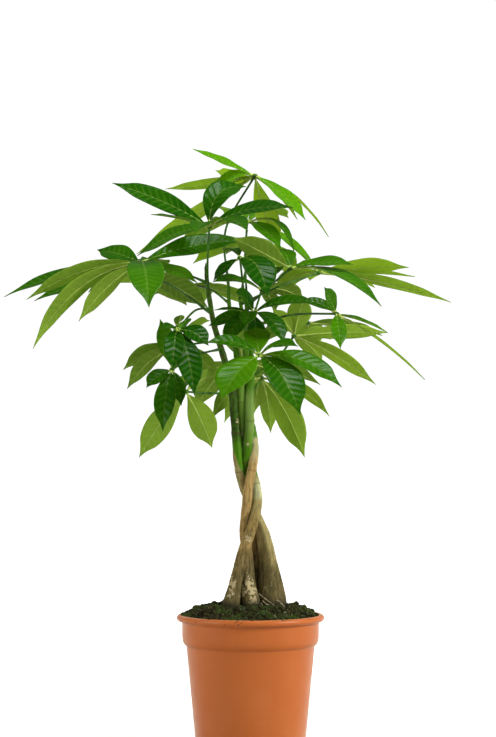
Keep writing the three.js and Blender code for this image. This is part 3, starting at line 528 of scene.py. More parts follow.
class LeafSettings(bpy.types.PropertyGroup):
    columns: IntProperty(name="Columns", description="Faces across a leaflet", default=12)
    rows: IntProperty(name="Rows", description="Faces along a leaflet", default=84)
    thickness: length_of("Thickness", "Thickness of a blade", 0.0005)
    quilting: length_of("Quilting", "How far a blade bulges between its veins", 0.00044)
    vein_spacing: length_of("Vein spacing", "Distance between two side veins", 0.0085)
    top: colour_of("Old leaf", "Upper side of an old leaf", 0.008, 0.07, 0.001)
    young_top: colour_of("Young leaf", "Upper side of a young leaf", 0.052, 0.21, 0.001)
    underside: colour_of("Old underside", "Underside of an old leaf", 0.24, 0.4, 0.045)
    young_underside: colour_of("Young underside", "Underside of a young leaf", 0.34, 0.5, 0.06)
    through: colour_of(
        "Light through an old leaf", "Light that comes through an old blade", 0.13, 0.32, 0.002)
    young_through: colour_of(
        "Light through a young leaf", "Light that comes through a young blade", 0.65, 0.85, 0.006)
    rib: colour_of("Ribs", "Middle ribs and side veins", 0.42, 0.56, 0.1)
    stalk: colour_of("Leaf stalks", "Long stalks of the leaves", 0.028, 0.1, 0.002)


class StageSettings(bpy.types.PropertyGroup):
    lens: FloatProperty(
        name="Lens", description="Focal length in millimetres", default=135.2)
    key_power: power_of("Key light", "Soft light from the right", 118)
    fill_power: power_of("Fill light", "Weaker soft light from the left", 50)
    back_power: power_of("Back light", "Wide soft light from behind", 90)
    top_power: power_of("Top light", "Soft light from above", 40)
    sky: FloatProperty(
        name="Surroundings", description="Light of the white surroundings", default=0.2)


def only(piece):
    """Selects one object and makes it the active one."""
    bpy.ops.object.select_all(action="DESELECT")
    piece.select_set(True)
    bpy.context.view_layer.objects.active = piece


def named(name):
    """Gives the object that an operator has just added its name."""
    piece = bpy.context.object
    piece.name = name
    piece.data.name = name
    return piece


def added(name, operator, **values):
    """What an operator adds, with nothing else selected."""
    bpy.ops.object.select_all(action="DESELECT")
    operator(**values)
    return named(name)


@contextmanager
def edit_mode(chosen="SELECT"):
    """Edit mode on the active piece, with all of its mesh selected, none of it, or what was."""
    bpy.ops.object.mode_set(mode="EDIT")
    if chosen:
        bpy.ops.mesh.select_all(action=chosen)
    yield
    bpy.ops.object.mode_set(mode="OBJECT")


def modify(piece, kind, **values):
    """Adds a modifier, sets its values and applies it."""
    only(piece)
    bpy.ops.object.modifier_add(type=kind)
    modifier = piece.modifiers[-1]
    for name, value in values.items():
        setattr(modifier, name, value)
    bpy.ops.object.modifier_apply(modifier=modifier.name)


def add_lumps(piece, size, depth, **values):
    """Moves the surface of a piece in and out in soft lumps."""
    texture = bpy.data.textures.new("lumps", "CLOUDS")
    texture.noise_scale = size
    modify(piece, "DISPLACE", texture=texture, strength=depth, mid_level=0.5,
           texture_coords="LOCAL", **values)


def draw_out(outline, radius, height):
    """Draws the selected ring out along pairs of radius and height, and closes the last one."""
    for next_radius, next_height in outline:
        bpy.ops.mesh.extrude_region_move(
            TRANSFORM_OT_translate={"value": (0, 0, next_height - height)})
        share = next_radius / radius
        bpy.ops.transform.resize(value=(share, share, 1), center_override=(0, 0, next_height))
        radius, height = next_radius, next_height
    bpy.ops.mesh.extrude_region_move()
    bpy.ops.mesh.merge(type="COLLAPSE")
    bpy.ops.mesh.select_all(action="SELECT")
    bpy.ops.mesh.normals_make_consistent(inside=False)


def points_of(piece):
    """The points of a piece, in rows of x, y and z."""
    points = np.empty(len(piece.data.vertices) * 3, np.float32)
    piece.data.vertices.foreach_get("co", points)
    return points.reshape(-1, 3).astype(float)


def set_points(piece, points):
    piece.data.vertices.foreach_set("co", points.astype(np.float32).ravel())
    piece.data.update()


def corner(radius, height, steps):
    """Pairs of radius and height at steps outwards and upwards from a corner."""
    return [(radius + outwards, height + upwards) for outwards, upwards in steps]


def paint(piece, name, values):
    """Keeps a number for each point of a piece, which its material reads."""
    attribute = piece.data.attributes.new(name, "FLOAT", "POINT")
    spread = np.broadcast_to(values, len(piece.data.vertices))
    attribute.data.foreach_set("value", spread.astype(np.float32))


def plant(piece, slot, *replaced):
    """Puts a finished piece on the plant, in place of the solids it stands for."""
    if replaced:
        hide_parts(*replaced)
    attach(piece, "root")


def dress(piece, materials, chosen=0):
    """Gives a piece its materials, all its faces taking the chosen one."""
    for material in materials:
        piece.data.materials.append(material)
    piece.data.polygons.foreach_set("material_index", [chosen] * len(piece.data.polygons))


def shade(colour, share):
    """A colour made darker or lighter."""
    return (*(share * part for part in colour[:3]), 1)


def join(pieces, name):
    bpy.ops.object.select_all(action="DESELECT")
    for piece in pieces:
        piece.select_set(True)
    bpy.context.view_layer.objects.active = pieces[0]
    bpy.ops.object.join()
    return named(name)


def grid(name, columns, rows):
    """A flat grid from 0 to 1 in x and y, which a formula then bends into shape."""
    piece = added(name, bpy.ops.mesh.primitive_grid_add, x_subdivisions=columns,
                  y_subdivisions=rows, size=1)
    bpy.ops.object.shade_smooth()
    points = points_of(piece)
    points[:, :2] += 0.5
    set_points(piece, points)
    return piece


def copy_of(piece, name):
    """A copy with a mesh of its own."""
    copy = piece.copy()
    copy.data = piece.data.copy()
    copy.name = name
    bpy.context.scene.collection.objects.link(copy)
    return copy


def remove(piece):
    mesh = piece.data
    bpy.data.objects.remove(piece)
    bpy.data.meshes.remove(mesh)


def merge_doubles(piece):
    """Joins the points of a piece that lie at the same place."""
    only(piece)
    with edit_mode():
        bpy.ops.mesh.remove_doubles(threshold=SAME_POINT)


def smoothstep(low, high, x):
    """Goes smoothly from 0 to 1 as x goes from low to high."""
    t = np.clip((x - low) / (high - low), 0, 1)
    return t * t * (3 - 2 * t)


def unit(vectors):
    return vectors / np.maximum(np.linalg.norm(vectors, axis=-1, keepdims=True), 1e-12)


def smooth_line(points, shares):
    """A centripetal Catmull-Rom curve through points in millimetres, as in the solid, in metres."""
    points = np.asarray(points, float)
    first = 2 * points[0] - points[1]
    last = 2 * points[-1] - points[-2]
    padded = np.vstack([first, points, last])
    spans = len(points) - 1
    place = np.clip(np.asarray(shares, float), 0, 1) * spans
    span = np.minimum(place.astype(int), spans - 1)
    weight = (place - span)[:, None]
    p0, p1, p2, p3 = (padded[span + k] for k in range(4))
    # The knots are spaced by the fourth root of the squared distance between neighbours
    gaps = [np.sum((b - a) ** 2, axis=1) ** 0.25 for a, b in ((p0, p1), (p1, p2), (p2, p3))]
    before, within, after = (gap[:, None] for gap in gaps)
    within = np.where(within < SAME_PLACE, 1, within)
    before = np.where(before < SAME_PLACE, within, before)
    after = np.where(after < SAME_PLACE, within, after)
    leaving = (p1 - p0) / before - (p2 - p0) / (before + within) + (p2 - p1) / within
    arriving = (p2 - p1) / within - (p3 - p1) / (within + after) + (p3 - p2) / after
    leaving = leaving * within
    arriving = arriving * within
    square, cube = weight ** 2, weight ** 3
    return MM * (p1 * (2 * cube - 3 * square + 1) + leaving * (cube - 2 * square + weight)
                 + p2 * (3 * square - 2 * cube) + arriving * (cube - square))


def rings(centres):
    """The direction of a line at each point, and two directions across it that don't twist."""
    along = unit(np.gradient(centres, axis=0))
    across = np.empty_like(along)
    current = np.array([1.0, 0, 0])
    if abs(along[0, 0]) > math.sqrt(0.5):
        current = np.array([0, 1.0, 0])
    for place, direction in enumerate(along):
        current = unit(current - direction * current.dot(direction))
        across[place] = current
    return along, across, np.cross(along, across)


def rolled(name, centres, radii, sides):
    """A grid rolled into a closed tube along a line. Returns the tube with, for each point, how far
    along it is from 0 to 1, its angle, and its direction out from the line."""
    count = len(centres)
    tube = grid(name, sides, count + 1)
    flat = points_of(tube)
    row = np.rint(flat[:, 1] * (count + 1)).astype(int)
    ring = np.clip(row - 1, 0, count - 1)
    angle = 2 * np.pi * flat[:, 0]
    along, across, other = rings(centres)
    out = across[ring] * np.cos(angle)[:, None] + other[ring] * np.sin(angle)[:, None]
    is_ring = ((row > 0) & (row < count + 1))[:, None]
    radius = np.asarray(radii, float)[ring][:, None] * is_ring
    set_points(tube, centres[ring] + out * radius)
    return tube, ring / (count - 1), angle, out * is_ring


def add_node(tree, kind, sockets=None, **values):
    """Adds a node. A socket's value is a number, a colour or another node's output."""
    made = tree.nodes.new(kind)
    for name, value in values.items():
        setattr(made, name, value)
    for key, value in (sockets or {}).items():
        if isinstance(value, bpy.types.NodeSocket):
            tree.links.new(value, made.inputs[key])
        else:
            made.inputs[key].default_value = value
    return made


def calculate(tree, operation, first, *others):
    """A number worked out from one or more, taken one after another."""
    for other in others or (0.0,):
        sockets = {0: first, 1: other}
        first = add_node(tree, "ShaderNodeMath", sockets, operation=operation).outputs[0]
    return first


def product(tree, *factors):
    return calculate(tree, "MULTIPLY", *factors)


def stray(tree, pattern, most):
    """Turns a pattern round a half into one round nothing."""
    return product(tree, calculate(tree, "SUBTRACT", pattern, 0.5), most)


def part_of(tree, vector, axis):
    return add_node(tree, "ShaderNodeSeparateXYZ", {0: vector}).outputs[axis]


def kind_of_ray(tree, kind):
    """1 for rays of a kind, and 0 for all others."""
    return add_node(tree, "ShaderNodeLightPath").outputs[kind]


def mix(tree, share, first, second):
    """A colour between two, by a share from 0 to 1."""
    # Of a Mix node's sockets, 6, 7 and the third output are its colours
    node = add_node(tree, "ShaderNodeMix", {0: share, 6: first, 7: second}, data_type="RGBA")
    return node.outputs[2]


def rise(tree, value, low, high, least=0.0, most=1.0):
    """Goes smoothly from least to most as a value goes from low to high."""
    sockets = {0: value, 1: low, 2: high, 3: least, 4: most}
    return add_node(tree, "ShaderNodeMapRange", sockets, interpolation_type="SMOOTHSTEP").outputs[0]


def place_of(tree, stretch=(1, 1, 1)):
    """Object coordinates in metres, stretched."""
    place = add_node(tree, "ShaderNodeTexCoord").outputs["Object"]
    return add_node(tree, "ShaderNodeMapping", {"Vector": place, "Scale": stretch}).outputs[0]


def noise(tree, place, scale, detail, roughness=0.5):
    sockets = {"Vector": place, "Scale": scale, "Detail": detail, "Roughness": roughness}
    return add_node(tree, "ShaderNodeTexNoise", sockets).outputs[0]


def painted(tree, name):
    """The number that paint keeps for each point."""
    return add_node(tree, "ShaderNodeAttribute", attribute_name=name).outputs["Fac"]


def bump(tree, height, distance, strength, below=None):
    sockets = {"Height": height, "Distance": distance, "Strength": strength}
    if below is not None:
        sockets["Normal"] = below
    return add_node(tree, "ShaderNodeBump", sockets).outputs[0]


def new_material(name):
    """An empty material with its output node."""
    material = bpy.data.materials.new(name)
    material.use_nodes = True
    tree = material.node_tree
    tree.nodes.clear()
    return material, tree, add_node(tree, "ShaderNodeOutputMaterial")


def surface(tree, output, **sockets):
    """A Principled surface, linked to the output."""
    named_sockets = {key.replace("_", " "): value for key, value in sockets.items()}
    shader = add_node(tree, "ShaderNodeBsdfPrincipled", named_sockets)
    tree.links.new(shader.outputs[0], output.inputs["Surface"])
    return shader


def pot_plastic(settings):
    """Satin plastic with a film of dust, faint moulding rings and scuffs."""
    material, tree, output = new_material("terracotta_plastic")
    place = place_of(tree)
    dust = rise(tree, noise(tree, place, 24, 5, 0.6), 0.42, 0.75, 0, 0.55)
    height = part_of(tree, place, "Z")
    ringed = calculate(tree, "SINE", product(tree, height, RING_WAVE))
    colour = mix(tree, dust, settings.colour, settings.dusty)
    specks = rise(tree, noise(tree, place, 900, 2), 0.62, 0.75, 0, 0.35)
    colour = mix(tree, specks, colour, shade(settings.colour, 0.72))
    clinging = rise(tree, noise(tree, place, 260, 2), 0.64, 0.68, 0, 0.85)
    rim = rise(tree, height, POT_HEIGHT - CLINGING_FROM, POT_HEIGHT - CLINGING_TO)
    colour = mix(tree, product(tree, clinging, rim), colour, CLINGING_SOIL)
    grain = bump(tree, noise(tree, place, 1400, 2), 0.00006, 0.5)
    lines = bump(tree, ringed, 0.00003, 0.35, grain)
    rough = rise(tree, noise(tree, place, 60, 4), 0.3, 0.7, 0.3, 0.42)
    surface(tree, output, Base_Color=colour, Roughness=rough, Normal=lines, Specular_IOR_Level=0.22,
            Sheen_Weight=0.3, Sheen_Roughness=0.35, Sheen_Tint=(1, 0.88, 0.7, 1))
    return material


def compost(settings, name, green):
    """Damp soil. green says how much of it the moss has coloured."""
    material, tree, output = new_material(name)
    place = place_of(tree)
    dry = rise(tree, noise(tree, place, 260, 4, 0.65), 0.45, 0.7)
    mossy = rise(tree, noise(tree, place, 42, 4, 0.6), 0.62 - green * 0.3, 0.72 - green * 0.2)
    colour = mix(tree, dry, settings.dark, settings.brown)
    colour = mix(tree, mossy, colour, settings.moss)
    pale = rise(tree, noise(tree, place, 700, 1), 0.7, 0.76, 0, 0.7)
    colour = mix(tree, pale, colour, settings.root)
    relief = bump(tree, noise(tree, place, 500, 5, 0.7), 0.001, 0.8)
    surface(tree, output, Base_Color=colour, Roughness=0.9, Normal=relief, Specular_IOR_Level=0.1)
    return material


def moss_green(settings):
    """Moss, mottled light and dark."""
    material, tree, output = new_material("moss_green")
    place = place_of(tree)
    colour = mix(tree, noise(tree, place, 180, 3), shade(settings.moss, 0.4),
                 shade(settings.moss, 2.4))
    surface(tree, output, Base_Color=colour, Roughness=0.7)
    return material


def dry_root(settings):
    """Pale roots with soil on them."""
    material, tree, output = new_material("dry_root")
    place = place_of(tree)
    dark = shade(settings.root, 0.35)
    colour = mix(tree, rise(tree, noise(tree, place, 350, 4), 0.35, 0.6), dark, settings.root)
    surface(tree, output, Base_Color=colour, Roughness=0.8)
    return material


def bark(settings):
    """Bark that turns green up the stem, with fibres, scars and dark rings."""
    material, tree, output = new_material("bark")
    place = place_of(tree)
    fibres = noise(tree, place_of(tree, (1, 1, 0.12)), 420, 5, 0.65)
    blotches = noise(tree, place, 65, 4, 0.6)
    height = part_of(tree, place, "Z")
    aged = rise(tree, calculate(tree, "ADD", height, product(tree, blotches, 0.07)),
                0.235, 0.29, 1, 0)
    grey_bark = mix(tree, rise(tree, fibres, 0.35, 0.62), shade(settings.grey, 0.45), settings.grey)
    tan_bark = mix(tree, rise(tree, fibres, 0.38, 0.58), shade(settings.tan, 0.5), settings.tan)
    colour = mix(tree, aged, tan_bark, grey_bark)
    olive_bark = mix(tree, rise(tree, fibres, 0.36, 0.6), shade(settings.olive, 0.65),
                     settings.olive)
    thin = product(tree, painted(tree, "olive"), rise(tree, blotches, 0.35, 0.6, 0.45, 1))
    colour = mix(tree, thin, colour, olive_bark)
    lichen = rise(tree, noise(tree, place, 190, 5, 0.7), 0.58, 0.68, 0, 0.5)
    colour = mix(tree, lichen, colour, LICHEN)
    fresh = calculate(tree, "ADD", painted(tree, "green"), stray(tree, blotches, 0.7))
    stripes = mix(tree, fibres, shade(settings.fresh, 0.55), shade(settings.fresh, 1.6))
    colour = mix(tree, rise(tree, fresh, 0.3, 0.7), colour, stripes)
    mottled = rise(tree, noise(tree, place, 210, 4, 0.7), 0.38, 0.56, 0.55, 1.2)
    # Darker, mottled bark at the heights that the tints give
    weathered = product(tree, painted(tree, "weathered"), mottled)
    colour = mix(tree, weathered, colour, settings.weathered)
    # Painted light: a lighter green where a stem lies in shade between the others
    colour = mix(tree, painted(tree, "lively"), colour, settings.lively)
    colour = mix(tree, painted(tree, "pale"), colour, settings.pale)
    frayed = product(tree, noise(tree, place, 300, 4, 0.6), 4)
    scarred = rise(tree, calculate(tree, "ADD", painted(tree, "scar"), frayed), 2.3, 2.7, 0, 0.9)
    scarred = product(tree, scarred, rise(tree, painted(tree, "scar"), 0, 0.2))
    colour = mix(tree, scarred, colour, settings.scar)
    colour = mix(tree, painted(tree, "ring"), colour, DARK_RING)
    colour = mix(tree, painted(tree, "damp"), colour, DAMP_FOOT)
    smooth = rise(tree, fresh, 0.3, 0.7, 0.78, 0.42)
    relief = bump(tree, fibres, 0.0009, 0.8)
    relief = bump(tree, noise(tree, place, 900, 3), 0.0003, 0.5, relief)
    surface(tree, output, Base_Color=colour, Roughness=smooth, Normal=relief, Specular_IOR_Level=0.1)
    return material


def leaf_blade(settings, name, old, young, roughness, gloss, rib_share, through_share):
    """One side of a leaf blade: colour by age and painted light, ribs and side veins, and light that
    comes through.
    """
    material, tree, output = new_material(name)
    place = place_of(tree)
    # How pale the blade is: partly its age, and partly painted light, higher on leaves in brighter light
    blade_age_and_light = calculate(tree, "ADD", painted(tree, "young"), stray(tree, noise(tree, place, 30, 3), 0.5))
    colour = mix(tree, rise(tree, blade_age_and_light, 0, 1), old, young)
    # Side veins lie at whole numbers of "vein", and the middle rib at half of the map's width
    from_vein = calculate(tree, "PINGPONG", painted(tree, "vein"), 0.5)
    veined = rise(tree, from_vein, 0.02, 0.16, 1, 0)
    between = rise(tree, from_vein, 0.05, 0.5)
    across = part_of(tree, add_node(tree, "ShaderNodeTexCoord").outputs["UV"], "X")
    from_rib = calculate(tree, "ABSOLUTE", calculate(tree, "SUBTRACT", across, 0.5))
    ribbed = rise(tree, from_rib, 0.012, 0.04, 1, 0)
    inner = rise(tree, from_rib, 0.1, 0.48, 1, 0.45)
    # Young leaves are smoother
    darker = product(tree, between, rise(tree, blade_age_and_light, 0, 0.5, 0.4, 0.12))
    colour = mix(tree, darker, colour, shade(old, 0.6))
    edge = rise(tree, from_rib, 0.48, 0.5, 0, 0.2)
    for share in (product(tree, veined, inner, rib_share),
                  product(tree, ribbed, min(1, rib_share * 1.6)), edge):
        colour = mix(tree, share, colour, settings.rib)
    relief = bump(tree, between, 0.0005, 0.25)
    relief = bump(tree, noise(tree, place, 900, 3), 0.0001, 0.5, relief)
    sheen = rise(tree, noise(tree, place, 220, 3), 0.3, 0.7, roughness - 0.05, roughness + 0.07)
    front = surface(tree, output, Base_Color=colour, Roughness=sheen, Normal=relief,
                    Specular_IOR_Level=gloss)
    # Light comes through more yellow between the veins of a young leaf
    through = mix(tree, rise(tree, blade_age_and_light, 0, 1), settings.through, settings.young_through)
    shaded = mix(tree, product(tree, veined, 0.12), through, settings.through)
    back = add_node(tree, "ShaderNodeBsdfTranslucent", {"Color": shaded, "Normal": relief})
    both = add_node(tree, "ShaderNodeMixShader",
                    {0: through_share, 1: front.outputs[0], 2: back.outputs[0]})
    tree.links.new(both.outputs[0], output.inputs["Surface"])
    return material


def stalk_green(name, colour, tip_colour):
    """Leaf stalks and ribs, a little streaked."""
    material, tree, output = new_material(name)
    place = place_of(tree)
    streaks = noise(tree, place, 120, 4, 0.6)
    surface(tree, output, Base_Color=mix(tree, rise(tree, streaks, 0.35, 0.65), colour, tip_colour),
            Roughness=0.4, Specular_IOR_Level=0.2)
    return material


class TREE_OT_pot(bpy.types.Operator):
    """Turns the nursery pot on its axis, with its rolled lip, band and drain holes"""

    bl_idname = "tree.pot"
    bl_label = "Nursery pot"

    def execute(self, context):
        settings = context.scene.tree_pot
        pot = self.turned("nursery_pot", self.profile(), settings.segments)
        self.drill(pot)
        only(pot)
        bpy.ops.object.shade_smooth_by_angle(angle=math.radians(38))
        dress(pot, [pot_plastic(settings)])
        plant(pot, "pot_plastic", "pot")
        return {"FINISHED"}

    @staticmethod
    def profile():
        """Pairs of radius and height, from the middle of the base up the wall and down inside."""
        lip_centre = POT_HEIGHT - LIP_ROLL
        roll_radius = LIP_RADIUS - LIP_ROLL
        inner_band = BAND_RADIUS - WALL
        body = [ring / BODY_RINGS for ring in range(1, BODY_RINGS + 1)]
        outline = [
            (MIDDLE_RADIUS, 0),
            *corner(BASE_RADIUS, 0, FOOT_STEPS),
            *((BASE_RADIUS + (BODY_TOP_RADIUS - BASE_RADIUS) * share,
               FOOT_HEIGHT + BODY_HEIGHT * share) for share in body),
            *corner(BODY_TOP_RADIUS, BAND_BOTTOM, BAND_FOOT_STEPS),
            *corner(BAND_RADIUS, BAND_BOTTOM, BAND_STEPS),
            *corner(BAND_RADIUS, lip_centre - LIP_ROLL, UNDER_LIP_STEPS),
        ]
        first, last, step = LIP_DEGREES
        for degrees in range(first, last + 1, step):
            angle = math.radians(degrees)
            outline.append((roll_radius + LIP_ROLL * math.cos(angle),
                            lip_centre + LIP_ROLL * math.sin(angle)))
        return [
            *outline,
            *corner(roll_radius, POT_HEIGHT, [LIP_END]),
            *corner(inner_band, POT_HEIGHT, [INNER_EDGE]),
            (inner_band, lip_centre - INNER_WALL_DROP), (inner_band, BAND_BOTTOM + BAND_FOOT),
            (BODY_TOP_RADIUS - WALL, BAND_BOTTOM), (BASE_RADIUS - WALL, FLOOR),
            (MIDDLE_RADIUS, FLOOR),
        ]

    @staticmethod
    def turned(name, outline, segments):
        """A circle drawn out ring by ring along an outline and closed at both ends."""
        radius, height = outline[0]
        pot = added(name, bpy.ops.mesh.primitive_circle_add, vertices=segments, radius=radius)
        with edit_mode():
            bpy.ops.mesh.extrude_region_move()
            bpy.ops.mesh.merge(type="COLLAPSE")
            bpy.ops.mesh.select_all(action="DESELECT")
            bpy.ops.mesh.select_non_manifold()
            draw_out(outline[1:], radius, height)
        return pot

    @staticmethod
    def drill(pot):
        """Cuts the drain holes through the floor."""
        for hole in range(DRAIN_COUNT):
            angle = 2 * math.pi * hole / DRAIN_COUNT
            centre = (DRAIN_CIRCLE * math.cos(angle), DRAIN_CIRCLE * math.sin(angle), FLOOR / 2)
            drill = added("drill", bpy.ops.mesh.primitive_cylinder_add, vertices=32,
                          radius=DRAIN_RADIUS, depth=4 * FLOOR, location=centre)
            modify(pot, "BOOLEAN", object=drill, operation="DIFFERENCE", solver="EXACT")
            remove(drill)


def soil_height(radius):
    """The smooth height of the heap at a distance from its middle."""
    share = np.clip(radius / SOIL_RADIUS, 0, 1)
    return SOIL_EDGE + SOIL_HEAP * (1 - share ** SOIL_SHOULDER)


def top_of(heap, x, y):
    """The height of the lumpy soil at a place, or of the pot's rim beside it."""
    hit, place, _, _ = heap.ray_cast((x, y, 1), (0, 0, -1))
    return place.z if hit else RIM_HEIGHT


def clear_spot(random, feet, margin):
    """A place on the soil that no stem stands on."""
    while True:
        radius = STREWN_RADIUS * math.sqrt(random.random())
        angle = 2 * math.pi * random.random()
        spot = Vector((radius * math.cos(angle), radius * math.sin(angle)))
        if all((spot - centre).length > foot + margin for centre, foot in feet):
            return spot


class TREE_OT_soil(bpy.types.Operator):
    """Heaps the soil in the pot, with crumbs, moss and thin surface roots on it"""

    bl_idname = "tree.soil"
    bl_label = "Soil and moss"

    def execute(self, context):
        settings = context.scene.tree_soil
        random = np.random.default_rng(SOIL_SEED)
        heap = self.heap()
        dress(heap, [compost(settings, "damp_compost", 0.35)])
        plant(heap, "soil", "soil")
        crumbs = self.scatter(heap, self.crumb(), "crumbs", settings.crumbs, settings.crumb_size,
                              random, CRUMB_TILT)
        dress(crumbs, [compost(settings, "compost_crumbs", 0.5)])
        plant(crumbs, "soil")
        moss = self.scatter(heap, self.sprig(), "moss", settings.sprigs, settings.sprig_height,
                            random, SPRIG_TILT)
        dress(moss, [moss_green(settings)])
        plant(moss, "soil")
        roots = self.roots(heap, random)
        dress(roots, [dry_root(settings)])
        plant(roots, "soil")
        return {"FINISHED"}

    @staticmethod
    def heap():
        """The body of the soil: a lumpy top, a wall just inside the pot's, and a floor."""
        heap = grid("compost_heap", SOIL_SECTORS, SOIL_ROWS)
        flat = points_of(heap)
        angle = -2 * np.pi * flat[:, 0]
        radius = SOIL_RADIUS * flat[:, 1]
        place = np.stack([radius * np.cos(angle), radius * np.sin(angle), soil_height(radius)], axis=1)
        set_points(heap, place)
        merge_doubles(heap)
        from_middle = np.linalg.norm(points_of(heap)[:, :2], axis=1) / SOIL_RADIUS
        loose = heap.vertex_groups.new(name="loose")
        for index, share in enumerate(smoothstep(1, LUMPS_END, from_middle)):
            loose.add([index], float(share), "REPLACE")
        for size, depth in SOIL_LUMPS:
            add_lumps(heap, size, depth, direction="Z", vertex_group="loose")
        wall = [
            (SOIL_RADIUS, BAND_BOTTOM + BAND_FOOT), (BODY_TOP_RADIUS - WALL - GAP, BAND_BOTTOM),
            (BASE_RADIUS - WALL - GAP, SOIL_FLOOR),
        ]
        with edit_mode("DESELECT"):
            bpy.ops.mesh.select_non_manifold()
            draw_out(wall, SOIL_RADIUS, SOIL_EDGE)
        return heap

    @staticmethod
    def crumb():
        """A rough crumb one unit across."""
        crumb = added("crumb", bpy.ops.mesh.primitive_cube_add, size=1)
        with edit_mode():
            bpy.ops.mesh.subdivide(number_cuts=1, smoothness=0.9)
            bpy.ops.transform.vertex_random(offset=CRUMB_ROUGHNESS, seed=5)
        return crumb

    @staticmethod
    def sprig():
        """A bent three-sided sprig one unit tall."""
        foot, top = SPRIG_RADII
        sprig = added("sprig", bpy.ops.mesh.primitive_cone_add, vertices=3, radius1=foot,
                      radius2=top, depth=SPRIG_FOOT)
        with edit_mode():
            bpy.ops.transform.translate(value=SPRIG_LIFT)
            bpy.ops.mesh.select_all(action="DESELECT")
        # Its top face is drawn out to the tip
        for face in sprig.data.polygons:
            face.select = face.normal.z > FACES_UP
        with edit_mode(None):
            bpy.ops.mesh.select_mode(type="FACE")
            bpy.ops.mesh.extrude_region_move(TRANSFORM_OT_translate={"value": SPRIG_TIP})
            bpy.ops.mesh.merge(type="COLLAPSE")
            bpy.ops.mesh.select_mode(type="VERT")
        return sprig

    @staticmethod
    def scatter(heap, pattern, name, count, size, random, tilt):
        """Repeats a small shape all over the heap, clear of the stems."""
        feet = [(Vector(points[1][:2]) * MM, points[1][3] * MM) for points in STEMS.values()]
        modify(pattern, "ARRAY", count=count, use_relative_offset=False)
        copies = points_of(pattern).reshape(count, -1, 3)
        for copy in copies:
            scale = size * (SMALLEST + SIZE_SPREAD * random.random() ** 2)
            spot = clear_spot(random, feet, CLEARANCE * scale)
            height = top_of(heap, *spot) + (random.random() - SUNK) * DEPTH_SPREAD * scale
            turn = Euler(random.uniform(-1, 1, 3) * (math.pi * tilt, math.pi * tilt, math.pi))
            stretched = copy * random.uniform(*STRETCH, 3) * scale
            copy[:] = stretched @ np.array(turn.to_matrix()).T + (*spot, height)
        set_points(pattern, copies)
        pattern.name = pattern.data.name = name
        return pattern

    @staticmethod
    def roots(heap, random):
        """Thin roots that leave a stem and lie on the soil."""
        tubes = []
        for number, route in enumerate(ROOTS):
            centres = smooth_line(route, np.linspace(0, 1, ROOT_POINTS))
            centres[:, :2] += ROOT_WANDER * np.cumsum(random.normal(size=(ROOT_POINTS, 2)), axis=0)
            # A root comes down from the stem, and rests on the soil from where it meets it
            ground = np.array([top_of(heap, x, y) for x, y in centres[:, :2]]) + ROOT_LIFT
            ground = np.pad(ground, EVENED // 2, mode="edge")
            ground = np.convolve(ground, np.ones(EVENED) / EVENED, mode="valid")
            centres[:, 2] = np.maximum(centres[:, 2], ground)
            radii = np.linspace(*ROOT_RADII, ROOT_POINTS)
            tubes.append(rolled(f"root_{number}", centres, radii, ROOT_SIDES)[0])
        roots = join(tubes, "surface_roots")
        merge_doubles(roots)
        return roots


def stem_line(name, shares):
    """Centres and radii of a stem, in metres."""
    points = np.array(STEMS[name], float)
    return smooth_line(points[:, :3], shares), smooth_line(points[:, 3:], shares)[:, 0]


def at_nodes(name, height, below, reach):
    """Soft rings round a stem, at its nodes or so many millimetres below them."""
    return sum(np.exp(-((height - (node - below) * MM) / reach) ** 2)
               for owner, node in NODES if owner == name)


